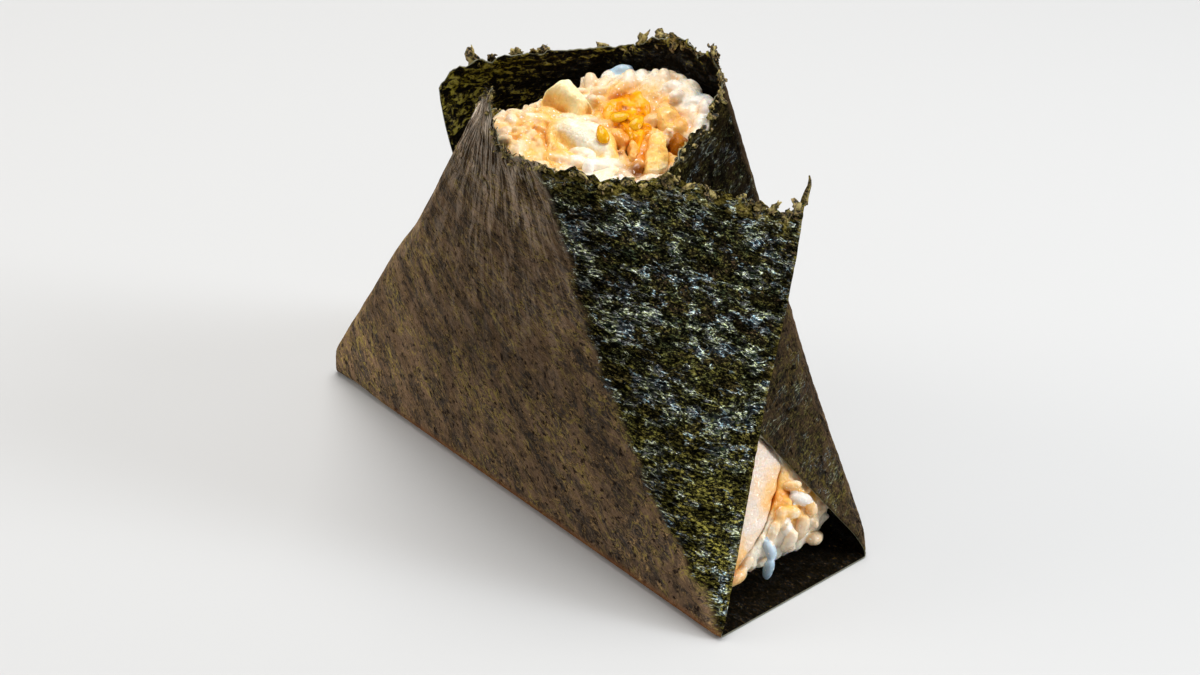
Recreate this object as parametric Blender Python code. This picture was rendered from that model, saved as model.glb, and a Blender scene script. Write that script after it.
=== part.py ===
"""Half-eaten triangle of seasoned rice with chicken, wrapped in one folded sheet of roasted seaweed.

Metres, +Z up.  X runs along the long resting side, the plain front panel faces -Y, and the origin
lies under the middle of the base.  The sheet goes up the front, under the base and up the back,
and its sides fold round the two slanted faces as flaps.  The top corner is bitten off.
"""

import math
import random

import bmesh
import bpy
from mathutils import Matrix, Vector, noise
from mathutils.bvhtree import BVHTree

MM = 0.001
# Points closer than this are one point.
WELD = 0.01 * MM
# Height from which things are dropped onto the bitten surface.
ABOVE = 80 * MM

# The wrapped triangle: length of the resting side, distance between the two panels and the slant.
LENGTH = 96 * MM
HALF = 17 * MM
SLANT = math.radians(60.41)
SIN = math.sin(SLANT)
COS = math.cos(SLANT)

# The seaweed sheet, the step where one flap lies over another, and its soft fullness on the panels.
SHEET = 0.4 * MM
LAYER = 1.0 * MM
PANEL_BULGE = 1.7 * MM
BULGE_HEIGHT = 75 * MM
NARROWEST_PANEL = 4 * MM

# Half length of sheet that each fold bends: at the base, at the sharp lower tips and near the tear,
# and on the slants by panel (-1 front, 1 back) and side (-1 left, 1 right).
BASE_REACH = 1.5 * MM
TIP_REACH = 1.0 * MM
TOP_REACH = 5 * MM
FOLD_REACH = {(-1, 1): 9 * MM, (-1, -1): 4 * MM, (1, 1): 5 * MM, (1, -1): 5 * MM}
FOLD_OPENS_OVER = 35 * MM
FOLD_LOOSE_FROM = 50 * MM
FOLD_LOOSE_OVER = 24 * MM

# Fullness of the front left and the back right edge: height, and where it ends up the slant.
EDGE_BULGE = {-1: (2.0 * MM, 46 * MM), 1: (1.0 * MM, 90 * MM)}
EDGE_BULGE_WIDTH = 13 * MM
EDGE_BULGE_START = 5 * MM
EDGE_BULGE_FADE = 14 * MM
EDGE_BULGE_LOSS = 0.6

# Waviness of the sheet: height, size across and up, and where it reaches its full height.
RIPPLE = 0.3 * MM
RIPPLE_ACROSS = 9 * MM
RIPPLE_UP = 13 * MM
RIPPLE_PHASE = 0.7
RIPPLE_FULL = 15 * MM
INNER_RIPPLE = 0.4

# Length of the inner flaps, and the upper left back flap that springs away from the rice.
INNER_FLAP = 22 * MM
SPRING = math.radians(33)
SPRING_FROM = 42 * MM
SPRING_OVER = 20 * MM

# How much each side edge of the sheet runs away from the panel as it rises, as width per height.
WIDEN = {(-1, 1): 0.102, (1, 1): 0.0, (1, -1): -0.07, (-1, -1): 0.0}

# Torn upper edge of the sheet: distance across from the middle and height above the base, in mm.
FRONT_TEAR = (
    (-48, 63.5), (-30, 64.5), (-16, 64.8), (-11.5, 66), (-9, 67.4), (-7.2, 69.4), (-6.2, 68.2),
    (-5.3, 64.2), (-4.2, 61.8), (0, 61.7), (5.4, 62.3), (9.5, 63.2), (16, 63.6), (23, 64.9),
    (29, 66.7), (35, 66.5), (46.8, 66.8), (51, 66.4), (54, 67.6), (55.4, 70.5), (56.2, 73.0))
BACK_TEAR = (
    (-44, 63), (-42.5, 65), (-40, 66.5), (-37, 67.5), (-34, 67.2), (-30, 68.2), (-22, 67),
    (-14.6, 66.4), (-10.5, 67.2), (-7.6, 69.4), (-3.3, 70.6), (0.5, 70.2), (1.5, 69.0), (3, 70.2),
    (5, 71.6), (7, 72.6), (8.3, 69.4), (10, 69.8), (13.3, 68.8), (18, 67.4), (24.8, 68.4),
    (30, 67.6), (40, 66.5))
TEAR_HEIGHT = 66 * MM
TEAR_JITTER = 0.35 * MM
TEAR_SEED = 11

# Grid of the sheet: columns on a flap and across a panel, rows up a panel, rows under the base.
FLAP_COLUMNS = 12
PANEL_COLUMNS = 10
PANEL_ROWS = 18
BASE_ROWS = (-0.6 * MM, -BASE_REACH, -5 * MM, -9 * MM, -13 * MM)
SHEET_CREASE = math.radians(50)

# The rice block inside the sheet: gap to the sheet, rounding of corners and edges, pillowed faces.
RICE_GAP = 0.5 * MM
RICE_CORNER = 6.5 * MM
SMALLEST_CORNER = 1.0 * MM
RICE_EDGE = 8 * MM
RICE_EDGE_STEPS = 5
RICE_FACE = HALF - RICE_GAP
RICE_FLOOR = 0.7 * MM
RICE_PILLOW = 1.2 * MM
PILLOW_MIDDLE = 27 * MM
PILLOW_RINGS = (0.7, 0.4)
CORNER_STEPS = {"right": 7, "top": 4, "left": 7}

# Height of the bitten surface: x, y and z in mm.
BITE = (
    (-9.5, -12.5, 62.8), (-11, -6, 60.6), (-5, -14.8, 61.0), (2, -15, 59.6), (8, -12, 58.6),
    (12.5, -5, 58.2), (14.5, 1.6, 58.4), (13.5, 7, 60.2), (11, 12, 63.4), (8.5, 14.5, 64.4),
    (2.3, 15.5, 65.2), (-3, 14, 64.8), (-7.5, 10.5, 63.2), (-9.8, 14.5, 61.6), (-10.5, 4, 60.8),
    (-6, -1, 61.8), (-5, 7.7, 62.3), (0.5, 2.3, 61.6), (3.3, 3.2, 61.6), (6, 7.5, 62.4),
    (3, -6, 60.6), (10, 1.5, 59.8))
# How softly the spots blend (square mm) and how fast each one fades, then the crumbly roughness.
BITE_BLEND = 1.5
BITE_FADE = 1.6
BITE_ROUGHNESS = 0.45 * MM
BITE_CRUMB = 2.2 * MM
BITE_PHASE = 3.1
# Size and grid of what the bite takes away.
BITE_REACH_X = 24 * MM
BITE_REACH_Y = 20 * MM
BITE_TOP = 95 * MM
BITE_STEPS_X = 22
BITE_STEPS_Y = 19

# Cooked rice grains.
GRAIN_LENGTH = 5.4 * MM
GRAIN_WIDTH = 2.3 * MM
GRAIN_FLATTENING = 0.9
GRAIN_LIFT = 0.1 * MM
GRAIN_LEAN = 0.35
GRAIN_CLEARANCE = 0.35 * MM
GRAIN_SPACING = 2.5 * MM
GRAIN_SEED = 5
TRIES_PER_GRAIN = 30
BITE_GRAINS = 52
RIGHT_GRAINS = 20
LEFT_GRAINS = 10
# Where grains may lie: half sizes of the bite, and up and across each open end.
BITE_AREA = (15 * MM, 16 * MM)
END_AREA = (1 * MM, 27 * MM, 13 * MM)
END_START = 6 * MM
END_INNERMOST = 30 * MM
STEEPEST_BITE = 0.3
# Loose grains that hang from the open end: lower end and upper end in mm.
HANGING = (((39.7, 1.2, 0.9), (42.0, -0.4, 5.2)), ((39.3, 5.2, 1.2), (42.0, 3.6, 5.0)))
HANGING_WIDTH = 0.85 * GRAIN_WIDTH
HANGING_THICKNESS = 0.8 * GRAIN_WIDTH

# Roasted sesame seeds.
SEED_LENGTH = 3.0 * MM
SEED_WIDTH = 1.9 * MM
SEED_THICKNESS = 1.1 * MM
SEED_LIFT = 0.15 * MM
SEED_SIDES = 8
# The piece each one lies on, the spot above it in mm and its turn about the vertical in degrees.
SEEDS = (
    ("chicken_slab", (3.0, -3.4), 40),
    ("rice_block", (0.7, 2.3), -10),
    ("rice_block", (3.4, 3.4), 75))

# Pieces of cooked chicken: middle, facing direction, depth below it and outline on that plane (mm).
CHICKEN = {
    "chicken_slab": (
        (3.5, -6.3, 61.4), (0.27, -0.05, 0.962), 6.5,
        ((-8.5, -0.2), (-6.2, 3.2), (-4.2, 5.2), (-2.0, 5.9), (0.2, 5.4), (3.4, 3.4), (5.0, 2.6),
         (6.4, 1.0), (6.9, -1.2), (5.4, -3.9), (3.3, -6.3), (0.7, -7.4), (-1.9, -7.2),
         (-4.3, -4.4), (-6.9, -2.8))),
    "chicken_chunk": (
        (-6.1, -2.5, 64.1), (0.549, -0.549, 0.629), 4.0,
        ((-3.5, -2.8), (-3.4, 0.4), (-2.9, 2.2), (-0.9, 2.7), (1.7, 2.5), (4.0, 1.4), (4.6, 0.4),
         (2.9, -0.9), (-0.6, -2.8), (-2.4, -3.3))),
    "chicken_strip": (
        (10.3, 1.3, 60.5), (0.406, -0.058, 0.912), 6.0,
        ((-2.6, 0.2), (-3.8, 2.0), (-3.6, 4.3), (-0.6, 2.6), (1.7, 1.3), (3.1, -0.5), (3.0, -2.7),
         (2.0, -4.2), (0.4, -2.9), (-0.9, -1.6))),
    "chicken_lump": (
        (5.9, 7.8, 63.2), (0.288, 0.043, 0.957), 3.6,
        ((-2.9, -0.6), (-2.6, 2.2), (-0.5, 2.6), (1.6, 1.4), (2.6, -0.8), (1.8, -1.9),
         (-0.2, -2.1))),
    "chicken_small": (
        (7.6, -1.0, 61.2), (0.421, -0.2, 0.884), 3.0,
        ((-1.7, 0.9), (-0.8, 1.3), (0.4, 0.6), (1.2, -0.2), (1.3, -0.9), (0.2, -0.9),
         (-1.1, -0.1))),
    "chicken_glazed": (
        (10.9, 5.6, 61.6), (0.414, 0.059, 0.908), 2.8,
        ((-2.2, 0.5), (-1.2, 1.4), (0.6, 1.2), (1.5, 0.2), (1.6, -0.9), (0.1, -1.2),
         (-1.4, -0.6))),
}
# The long slice at the open right-hand end: distance up the slanted face and depth across, in mm.
SLICE_TOP = -0.65 * MM
SLICE_DEPTH = 4.5 * MM
SLICE_OUTLINE = (
    (27.0, 2.2), (20.2, 6.6), (15.6, 2.7), (11.9, -0.8), (10.4, -3.6), (8.9, -6.2), (8.0, -9.4),
    (10.0, -12.6), (16.5, -11.0), (24.5, -5.5))
# Points round the rim of the slab, of the slice and of the small pieces.
SLAB_RIM = 22
SLICE_RIM = 18
SMALL_RIM = 12
RIM_SOFTENING = 0.35
# Torn relief of the pieces in the bite and of the slice, and the size of one fibre bundle.
BITE_RELIEF = 0.3 * MM
SLICE_RELIEF = 0.1 * MM
FIBRE_ACROSS = 1.6 * MM
FIBRE_ALONG = 2.4 * MM
# Rings of a piece: share of its outline and height; then how far its sides go down and draw in.
PIECE_RINGS = ((0.4, 0.25 * MM), (0.72, 0.18 * MM), (0.92, 0.0), (1.0, -0.6 * MM))
PIECE_MIDDLE = 0.3 * MM
PIECE_WAIST = (0.98, 0.55)
PIECE_FOOT = 0.8
PIECE_GAP = 0.35 * MM
FOOD_CREASE = math.radians(60)

# Linear colour and roughness of each material.
NORI = ((0.035, 0.032, 0.02), 0.6)
COOKED_RICE = ((0.85, 0.72, 0.52), 0.45)
COOKED_CHICKEN = ((0.86, 0.62, 0.38), 0.45)
GLAZED_CHICKEN = ((0.32, 0.07, 0.02), 0.2)


def smooth(t):
    """Ease from 0 to 1."""
    t = min(max(t, 0.0), 1.0)
    return t * t * (3.0 - 2.0 * t)


def read_profile(profile, across):
    """Straight interpolation through pairs of across and value."""
    if across <= profile[0][0]:
        return profile[0][1]
    for (u0, v0), (u1, v1) in zip(profile, profile[1:]):
        if across <= u1:
            return v0 + (v1 - v0) * (across - u0) / (u1 - u0)
    return profile[-1][1]


def make_material(name, colour, roughness):
    material = bpy.data.materials.new(name)
    material.use_nodes = True
    shader = material.node_tree.nodes["Principled BSDF"]
    shader.inputs["Base Color"].default_value = (*colour, 1.0)
    shader.inputs["Roughness"].default_value = roughness
    shader.inputs["Metallic"].default_value = 0.0
    material.diffuse_color = (*colour, 1.0)
    return material


def new_object(name, bm, material=None):
    """Turn a bmesh into an object with outward normals."""
    bmesh.ops.recalc_face_normals(bm, faces=bm.faces)
    mesh = bpy.data.meshes.new(name)
    bm.to_mesh(mesh)
    bm.free()
    obj = bpy.data.objects.new(name, mesh)
    bpy.context.scene.collection.objects.link(obj)
    if material:
        mesh.materials.append(material)
    return obj


def apply_modifiers(obj):
    graph = bpy.context.evaluated_depsgraph_get()
    graph.update()
    mesh = bpy.data.meshes.new_from_object(obj.evaluated_get(graph))
    obj.modifiers.clear()
    obj.data = mesh


def combine(obj, others, operation):
    """Boolean one object with a group of others, which are then removed."""
    group = bpy.data.collections.new("group")
    bpy.context.scene.collection.children.link(group)
    for other in others:
        group.objects.link(other)
    modifier = obj.modifiers.new("combine", "BOOLEAN")
    modifier.operand_type = "COLLECTION"
    modifier.collection = group
    modifier.operation = operation
    modifier.solver = "EXACT"
    apply_modifiers(obj)
    for other in others:
        bpy.data.objects.remove(other)
    bpy.data.collections.remove(group)


def keep_main_shell(obj):
    """Drop loose scraps and inner hollows, leaving the one outer skin."""
    bm = bmesh.new()
    bm.from_mesh(obj.data)
    bmesh.ops.remove_doubles(bm, verts=bm.verts, dist=WELD)
    bmesh.ops.dissolve_degenerate(bm, edges=bm.edges, dist=WELD)
    bmesh.ops.triangulate(bm, faces=bm.faces)
    shells = []
    waiting = set(bm.faces)
    while waiting:
        front = [waiting.pop()]
        shell = []
        while front:
            face = front.pop()
            shell.append(face)
            for edge in face.edges:
                for near in edge.link_faces if len(edge.link_faces) == 2 else ():
                    if near in waiting:
                        waiting.discard(near)
                        front.append(near)
        shells.append(shell)
    shells.sort(key=len)
    for shell in shells[:-1]:
        bmesh.ops.delete(bm, geom=shell, context="FACES")
    bmesh.ops.delete(bm, geom=[v for v in bm.verts if not v.link_faces], context="VERTS")
    bm.to_mesh(obj.data)
    bm.free()


# The seaweed sheet.


def fold_reach(facing, side, s):
    """Half length of sheet taken up by the rounded fold, at a distance up the slanted edge."""
    full = FOLD_REACH[(facing, side)]
    opening = TIP_REACH + (full - TIP_REACH) * smooth(s / FOLD_OPENS_OVER)
    loosening = smooth((s - FOLD_LOOSE_FROM) / FOLD_LOOSE_OVER)
    return min(opening, full + (TOP_REACH - full) * loosening)


def panel_edge(h):
    """Half width of the panel between its two folds, at height h on the flat sheet."""
    return max(LENGTH / 2 - max(h, 0.0) * COS / SIN, NARROWEST_PANEL)


def ripple(u, h):
    """Waviness of the sheet, 0 to 1."""
    return 0.5 + 0.5 * noise.noise(Vector((u / RIPPLE_ACROSS, h / RIPPLE_UP, RIPPLE_PHASE)))


def edge_fullness(side, facing, s, m):
    """How far the soft edge stands out, s up the slant and m round from the panel's fold."""
    rise, top = EDGE_BULGE[side]
    fading = smooth((s - top + EDGE_BULGE_FADE) / EDGE_BULGE_FADE)
    lift = smooth(s / EDGE_BULGE_START) * (1 - EDGE_BULGE_LOSS * fading)
    away = abs(m) if side == facing else abs(2 * HALF - m)
    return rise * lift * (1 - smooth(away / EDGE_BULGE_WIDTH))


def sheet_point(facing, u, h):
    """Folded place of a point of the flat sheet: u across, h up, negative h on the base panel."""
    x = u
    y = HALF
    z = max(h, 0.0)
    if h < -BASE_REACH:
        return Vector((x, facing * (HALF + h), SHEET / 2))
    if h < BASE_REACH:
        t = (h + BASE_REACH) / (2 * BASE_REACH)
        y -= (1 - t) * (1 - t) * BASE_REACH
        z = t * t * BASE_REACH
    outward = 0.0
    for side in (-1, 1):
        beyond = side * u - LENGTH / 2
        s = h * SIN - beyond * COS
        m = h * COS + beyond * SIN
        reach = fold_reach(facing, side, s) * smooth((h + BASE_REACH) / BASE_REACH)
        if reach <= 0:
            continue
        t = (m + reach) / (2 * reach)
        wrapped = smooth(t)
        if t <= 0:
            n, inward = m, 0.0
        elif t >= 1:
            n, inward = 0.0, m
        else:
            n, inward = -(1 - t) * (1 - t) * reach, t * t * reach
        outward += wrapped
        if side == -facing:
            n += LAYER * wrapped
        if facing > 0 and side < 0:
            angle = SPRING * smooth((s - SPRING_FROM) / SPRING_OVER) * wrapped
            n, inward = (n * math.cos(angle) + inward * math.sin(angle),
                         inward * math.cos(angle) - n * math.sin(angle))
        n += edge_fullness(side, facing, s, m)
        wave = RIPPLE * ripple(u, h) * wrapped * smooth(h / RIPPLE_FULL)
        if side == facing:
            wave *= INNER_RIPPLE
        x += side * (n - m + wave) * SIN
        z += (n - m + wave) * COS
        y -= inward
    if h > 0:
        c = min(abs(u) / panel_edge(h), 1.0)
        swell = math.sin(math.pi * min(h / BULGE_HEIGHT, 1.0))
        y += PANEL_BULGE * swell * (1 - c * c)
        y += RIPPLE * ripple(u, h) * (1 - min(outward, 1.0)) * smooth(h / RIPPLE_FULL)
    return Vector((x, facing * y, z + SHEET / 2))


def sheet_column(facing, kind, part, h):
    """Distance across for a column of the grid: panel part -1 to 1, flap part 0 to 1."""
    edge = panel_edge(h)
    if kind == 0:
        return part * edge
    width = LENGTH / 2 + WIDEN[(facing, kind)] * max(h, 0.0)
    if kind == facing:
        width = min(width, LENGTH / 2 + (INNER_FLAP - h * COS) / SIN)
    return kind * (edge + part * (width - edge))


def torn_height(facing, kind, part, rng):
    """Height of the torn edge on one column, closed in on because columns lean with height."""
    profile = FRONT_TEAR if facing < 0 else BACK_TEAR
    h = TEAR_HEIGHT
    for _ in range(6):
        h = read_profile(profile, sheet_column(facing, kind, part, h) / MM) * MM
    return h + rng.uniform(-TEAR_JITTER, TEAR_JITTER)


def make_sheet():
    """The one sheet, as a grid that runs down the front, under the base and up the back."""
    rng = random.Random(TEAR_SEED)
    columns = [(-1, i / FLAP_COLUMNS) for i in range(FLAP_COLUMNS, 0, -1)]
    for i in range(PANEL_COLUMNS + 1):
        columns.append((0, math.sin(math.pi / 2 * (2 * i / PANEL_COLUMNS - 1))))
    columns += [(1, i / FLAP_COLUMNS) for i in range(1, FLAP_COLUMNS + 1)]
    heights = {}
    for facing in (-1, 1):
        for kind, part in columns:
            heights[(facing, kind, part)] = torn_height(facing, kind, part, rng)
    # Rows from the front tear down, under the base and up to the back tear.  A share is the part
    # of the way from the base fold to the tear, and a level is a fixed height on the flat sheet.
    shares = [i / PANEL_ROWS for i in range(PANEL_ROWS + 1)]
    rows = [(-1, "share", share) for share in reversed(shares)]
    rows += [(-1, "level", h) for h in (0.0, *BASE_ROWS, -HALF)]
    rows += [(1, "level", h) for h in (*reversed(BASE_ROWS), 0.0)]
    rows += [(1, "share", share) for share in shares]
    bm = bmesh.new()
    grid = []
    for facing, measure, value in rows:
        line = []
        for kind, part in columns:
            h = value
            if measure == "share":
                h = BASE_REACH + (heights[(facing, kind, part)] - BASE_REACH) * value
            elif kind != 0:
                line.append(None)
                continue
            line.append(bm.verts.new(sheet_point(facing, sheet_column(facing, kind, part, h), h)))
        # Below the folds there are no flaps, so their columns run together at the panel's edge.
        first = line[FLAP_COLUMNS]
        last = line[FLAP_COLUMNS + PANEL_COLUMNS]
        line = [first if v is None and i < FLAP_COLUMNS else v for i, v in enumerate(line)]
        line = [last if v is None else v for v in line]
        grid.append(line)
    for low, high in zip(grid, grid[1:]):
        for i in range(len(columns) - 1):
            corners = []
            for vert in (low[i], low[i + 1], high[i + 1], high[i]):
                if vert not in corners:
                    corners.append(vert)
            if len(corners) > 2:
                bm.faces.new(corners)
    bmesh.ops.triangulate(bm, faces=bm.faces)
    return new_object("nori_wrap", bm, make_material("nori", *NORI))


# The rice block and its bite.


def inner_corner(which, inset):
    """Corner of the triangle that lies a given inset inside the sheet, as x and z."""
    n = -RICE_GAP - inset
    floor = RICE_FLOOR + inset
    if which == "top":
        return 0.0, (n + LENGTH / 2 * SIN) / COS
    x = LENGTH / 2 + (n - floor * COS) / SIN
    return (x, floor) if which == "right" else (-x, floor)


def block_outline(inset):
    """Rounded triangle at an inset, as a list of x and z."""
    radius = max(RICE_CORNER - inset, SMALLEST_CORNER)
    lean = 90 - math.degrees(SLANT)
    arcs = (("right", -90, lean), ("top", lean, 180 - lean), ("left", 180 - lean, 270))
    points = []
    for which, start, stop in arcs:
        cx, cz = inner_corner(which, inset + radius)
        count = CORNER_STEPS[which]
        for i in range(count + 1):
            angle = math.radians(start + (stop - start) * i / count)
            points.append((cx + radius * math.cos(angle), cz + radius * math.sin(angle)))
    return points


def make_block():
    """The pressed rice before it is bitten."""
    stations = []
    for i in range(RICE_EDGE_STEPS + 1):
        angle = math.pi / 2 * i / RICE_EDGE_STEPS
        inset = RICE_EDGE * (1 - math.sin(angle))
        stations.append((-RICE_FACE + RICE_EDGE * (1 - math.cos(angle)), inset))
    stations += [(-y, inset) for y, inset in reversed(stations)]
    bm = bmesh.new()
    rings = []
    for y, inset in stations:
        rings.append([bm.verts.new((x, y, z)) for x, z in block_outline(inset)])
    cap_middle = Vector((0.0, PILLOW_MIDDLE))
    for end, facing in ((0, -1), (-1, 1)):
        flat = block_outline(RICE_EDGE)
        for share in PILLOW_RINGS:
            y = facing * (RICE_FACE + RICE_PILLOW * (1 - share * share))
            ring = []
            for x, z in flat:
                spot = cap_middle.lerp(Vector((x, z)), share)
                ring.append(bm.verts.new((spot.x, y, spot.y)))
            if end == 0:
                rings.insert(0, ring)
            else:
                rings.append(ring)
        middle = bm.verts.new((cap_middle.x, facing * (RICE_FACE + RICE_PILLOW), cap_middle.y))
        last = rings[end]
        for i in range(len(last)):
            bm.faces.new((last[i], last[(i + 1) % len(last)], middle))
    for ring, after in zip(rings, rings[1:]):
        for i in range(len(ring)):
            j = (i + 1) % len(ring)
            bm.faces.new((ring[i], ring[j], after[j], after[i]))
    return new_object("rice_block", bm, make_material("cooked_rice", *COOKED_RICE))


def bite_height(x, y):
    """Height of the bitten surface, weighted from its measured spots."""
    total = 0.0
    weight_sum = 0.0
    for px, py, pz in BITE:
        away = (x / MM - px) ** 2 + (y / MM - py) ** 2
        weight = (away + BITE_BLEND) ** -BITE_FADE
        total += weight * pz * MM
        weight_sum += weight
    rough = noise.noise(Vector((x / BITE_CRUMB, y / BITE_CRUMB, BITE_PHASE)))
    return total / weight_sum + BITE_ROUGHNESS * rough


def make_bite():
    """What the bite takes away: everything above the bitten surface."""
    bm = bmesh.new()
    low = []
    high = []
    for i in range(BITE_STEPS_X + 1):
        x = BITE_REACH_X * (2 * i / BITE_STEPS_X - 1)
        low_line = []
        high_line = []
        for j in range(BITE_STEPS_Y + 1):
            y = BITE_REACH_Y * (2 * j / BITE_STEPS_Y - 1)
            low_line.append(bm.verts.new((x, y, bite_height(x, y))))
            edge = i in (0, BITE_STEPS_X) or j in (0, BITE_STEPS_Y)
            high_line.append(bm.verts.new((x, y, BITE_TOP)) if edge else None)
        low.append(low_line)
        high.append(high_line)
    for i in range(BITE_STEPS_X):
        for j in range(BITE_STEPS_Y):
            bm.faces.new((low[i][j], low[i][j + 1], low[i + 1][j + 1], low[i + 1][j]))
    border = [(i, 0) for i in range(BITE_STEPS_X)]
    border += [(BITE_STEPS_X, j) for j in range(BITE_STEPS_Y)]
    border += [(i, BITE_STEPS_Y) for i in range(BITE_STEPS_X, 0, -1)]
    border += [(0, j) for j in range(BITE_STEPS_Y, 0, -1)]
    for (i, j), (k, l) in zip(border, border[1:] + border[:1]):
        bm.faces.new((low[i][j], low[k][l], high[k][l], high[i][j]))
    bm.faces.new([high[i][j] for i, j in border])
    bmesh.ops.triangulate(bm, faces=bm.faces)
    return new_object("bite", bm)


# The chicken.


def even_outline(outline, count):
    """Walk round an outline in equal steps, with its corners softened."""
    points = [Vector(p) * MM for p in outline]
    lengths = [(b - a).length for a, b in zip(points, points[1:] + points[:1])]
    total = sum(lengths)
    walked = []
    for i in range(count):
        left = total * i / count
        index = 0
        while left > lengths[index]:
            left -= lengths[index]
            index += 1
        start = points[index]
        end = points[(index + 1) % len(points)]
        walked.append(start.lerp(end, left / lengths[index]))
    softened = []
    for i, point in enumerate(walked):
        near = (walked[i - 1] + walked[(i + 1) % count]) / 2
        softened.append(point.lerp(near, RIM_SOFTENING))
    return softened


def torn_piece(name, place, outline, depth, count, relief, material=None, grow=0.0):
    """A torn piece of meat: a low dome with a rounded rim, tapering below."""
    rim = even_outline(outline, count)
    middle = sum(rim, Vector((0.0, 0.0))) / count
    waist, waist_depth = PIECE_WAIST
    levels = (*PIECE_RINGS, (waist, -waist_depth * depth), (PIECE_FOOT, -depth))
    bm = bmesh.new()
    rings = []
    for share, height in levels:
        ring = []
        for point in rim:
            spot = middle.lerp(point, share)
            bump = noise.noise(Vector((spot.x / FIBRE_ACROSS, spot.y / FIBRE_ALONG, depth / MM)))
            ring.append(bm.verts.new((spot.x, spot.y, height + relief * bump)))
        rings.append(ring)
    top = bm.verts.new((middle.x, middle.y, PIECE_MIDDLE))
    bottom = bm.verts.new((middle.x, middle.y, -depth))
    for i in range(count):
        j = (i + 1) % count
        bm.faces.new((rings[0][i], rings[0][j], top))
        bm.faces.new((rings[-1][j], rings[-1][i], bottom))
        for inner, outer in zip(rings, rings[1:]):
            bm.faces.new((inner[i], outer[i], outer[j], inner[j]))
    bmesh.ops.triangulate(bm, faces=bm.faces)
    bmesh.ops.recalc_face_normals(bm, faces=bm.faces)
    bm.normal_update()
    moves = [v.normal * grow for v in bm.verts]
    for vert, move in zip(bm.verts, moves):
        vert.co += move
    bmesh.ops.transform(bm, matrix=place, verts=bm.verts)
    return new_object(name, bm, material)


def facing_frame(middle, normal):
    """Frame at a point whose z looks along a direction and whose x stays close to the world's."""
    z = Vector(normal).normalized()
    x = (Vector((1, 0, 0)) - z * z.x).normalized()
    y = z.cross(x)
    frame = Matrix((x, y, z)).transposed().to_4x4()
    frame.translation = middle
    return frame


def slice_frame():
    """Frame of the right-hand slanted face: x up the slant, y across the depth."""
    z = Vector((SIN, 0, COS))
    x = Vector((-COS, 0, SIN))
    frame = Matrix((x, z.cross(x), z)).transposed().to_4x4()
    frame.translation = Vector((LENGTH / 2, 0, 0)) + z * SLICE_TOP
    return frame


def chicken_pieces():
    """Name, frame, outline, depth, rim points and relief of every piece."""
    pieces = []
    for name, (middle, normal, depth, outline) in CHICKEN.items():
        frame = facing_frame(Vector(middle) * MM, normal)
        count = SLAB_RIM if name == "chicken_slab" else SMALL_RIM
        pieces.append((name, frame, outline, depth * MM, count, BITE_RELIEF))
    across = [(s, -y) for s, y in SLICE_OUTLINE]
    pieces.append(("chicken_side", slice_frame(), across, SLICE_DEPTH, SLICE_RIM, SLICE_RELIEF))
    return pieces


# Grains and seeds.


def ellipsoid(place, length, width, thickness, sides=5):
    """A grain or seed with its long axis on x."""
    bands = 4
    bm = bmesh.new()
    rings = []
    for j in range(1, bands):
        angle = math.pi * j / bands
        ring = []
        for i in range(sides):
            turn = 2 * math.pi * i / sides
            ring.append(bm.verts.new((
                -length / 2 * math.cos(angle),
                width / 2 * math.sin(angle) * math.cos(turn),
                thickness / 2 * math.sin(angle) * math.sin(turn))))
        rings.append(ring)
    ends = [bm.verts.new((-length / 2, 0, 0)), bm.verts.new((length / 2, 0, 0))]
    for i in range(sides):
        j = (i + 1) % sides
        bm.faces.new((rings[0][i], rings[0][j], ends[0]))
        bm.faces.new((rings[-1][j], rings[-1][i], ends[1]))
        for a, b in zip(rings, rings[1:]):
            bm.faces.new((a[i], b[i], b[j], a[j]))
    bmesh.ops.triangulate(bm, faces=bm.faces)
    bmesh.ops.transform(bm, matrix=place, verts=bm.verts)
    return new_object("grain", bm)


def lying_frame(point, normal, turn, lift):
    """Frame for something that lies on a surface, long axis turned about the normal."""
    frame = facing_frame(point + normal * lift, normal)
    return frame @ Matrix.Rotation(turn, 4, "Z")


def mesh_tree(obj):
    bm = bmesh.new()
    bm.from_mesh(obj.data)
    tree = BVHTree.FromBMesh(bm)
    bm.free()
    return tree


def clear_of(trees, frame, length, radius):
    """Whether a grain keeps its distance from every neighbour, felt along its rounded middle."""
    straight = length - 1.4 * radius
    for share in (-0.5, -0.25, 0.0, 0.25, 0.5):
        point = frame @ Vector((share * straight, 0, 0))
        for tree, skin in trees:
            if tree.find_nearest(point)[3] < radius + skin + GRAIN_CLEARANCE:
                return False
    return True


def drop_line(zone, rng):
    """Start and heading of a line that finds a spot for a grain in a zone."""
    if zone == "bite":
        reach_x, reach_y = BITE_AREA
        x = rng.uniform(-reach_x, reach_x)
        y = rng.uniform(-reach_y, reach_y)
        return Vector((x, y, ABOVE)), Vector((0, 0, -1))
    side = 1 if zone == "right" else -1
    low, high, reach_y = END_AREA
    s = rng.uniform(low, high)
    start = Vector((side * (LENGTH / 2 - s * COS + END_START * SIN),
                    rng.uniform(-reach_y, reach_y), s * SIN + END_START * COS))
    return start, Vector((-side * SIN, 0, -COS))


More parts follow.
